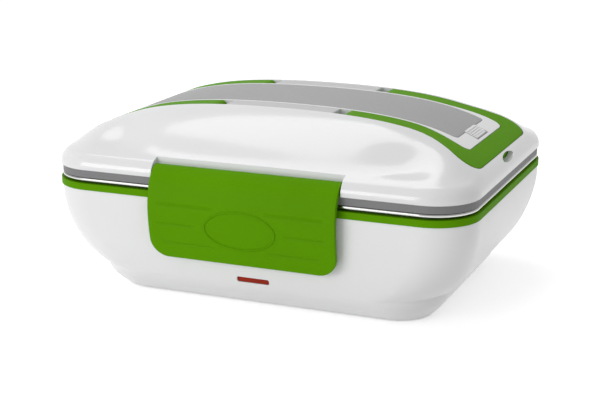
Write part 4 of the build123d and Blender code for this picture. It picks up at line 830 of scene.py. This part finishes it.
# ------------------------------------------------------------------ floor, light, camera
def plain_sight(tree):
    """1 for rays straight from the camera and for those that mirror or pass through something, else 0."""
    seen = tree.nodes.new("ShaderNodeLightPath")
    found = seen.outputs["Is Camera Ray"]
    for other in ("Is Glossy Ray", "Is Transmission Ray"):
        found = place(
            tree, "ShaderNodeMath", {0: found, 1: seen.outputs[other]}, operation="MAXIMUM"
        ).outputs[0]
    return found


FLOOR_LIFT = 0.5
WORLD_LIGHT, WORLD_WHITE = 0.5, 1.0  # strength that lights the object, and strength that is seen


def floor():
    """A pale floor that goes white in the lit parts and keeps a soft shadow."""
    bm = bmesh.new()
    bmesh.ops.create_grid(bm, x_segments=1, y_segments=1, size=6.0)
    mesh = bpy.data.meshes.new("floor")
    bm.to_mesh(mesh)
    bm.free()
    ground = bpy.data.objects.new("floor", mesh)
    bpy.context.scene.collection.objects.link(ground)
    material = bpy.data.materials.new("floor_white")
    material.use_nodes = True
    tree = material.node_tree
    principled = tree.nodes["Principled BSDF"]
    principled.inputs["Base Color"].default_value = (0.9, 0.9, 0.9, 1)
    principled.inputs["Roughness"].default_value = 0.9
    principled.inputs["Specular IOR Level"].default_value = 0.1
    lift = place(tree, "ShaderNodeMath", {0: plain_sight(tree), 1: FLOOR_LIFT}, operation="MULTIPLY")
    principled.inputs["Emission Color"].default_value = (1, 1, 1, 1)
    tree.links.new(lift.outputs[0], principled.inputs["Emission Strength"])
    ground.data.materials.append(material)
    ground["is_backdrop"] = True


floor()

world = bpy.data.worlds.new("studio")
bpy.context.scene.world = world
world.use_nodes = True
tree = world.node_tree
level = place(
    tree, "ShaderNodeMapRange", {"Value": plain_sight(tree), "To Min": WORLD_LIGHT, "To Max": WORLD_WHITE}
)
tree.nodes["Background"].inputs["Color"].default_value = (1, 1, 1, 1)
tree.links.new(level.outputs["Result"], tree.nodes["Background"].inputs["Strength"])


def lamp(name, place_m, aim_m, size, watts):
    """A soft rectangular studio lamp aimed at a point."""
    data = bpy.data.lights.new(name, "AREA")
    data.shape, data.size, data.size_y, data.energy = "RECTANGLE", size[0], size[1], watts
    shown = bpy.data.objects.new(name, data)
    bpy.context.scene.collection.objects.link(shown)
    shown.location = place_m
    shown.rotation_euler = (Vector(aim_m) - Vector(place_m)).to_track_quat("-Z", "Y").to_euler()


lamp("overhead", (-0.3, 0.25, 1.2), (0, 0, 0.05), (0.9, 0.6), 3.8)
lamp("front_left", (-0.7, -1.4, 0.45), (0, 0, 0.05), (0.9, 0.7), 8.5)

CAMERA_AT = (0.29412, -0.72153, 0.25348)  # metres, worked out from the photograph's perspective
CAMERA_DOWN, CAMERA_TURN = 0.2637, 0.3916  # radians below level, and round from straight ahead
camera_data = bpy.data.cameras.new("camera")
camera_data.lens, camera_data.sensor_width = 83.914, 36.0
camera_data.clip_start, camera_data.clip_end = 0.01, 50.0
camera = bpy.data.objects.new("camera", camera_data)
bpy.context.scene.collection.objects.link(camera)
camera.location = CAMERA_AT
camera.rotation_euler = (math.pi / 2 - CAMERA_DOWN, 0.0, CAMERA_TURN)
bpy.context.scene.camera = camera
bpy.context.scene.view_settings.view_transform = "Standard"

low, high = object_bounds()
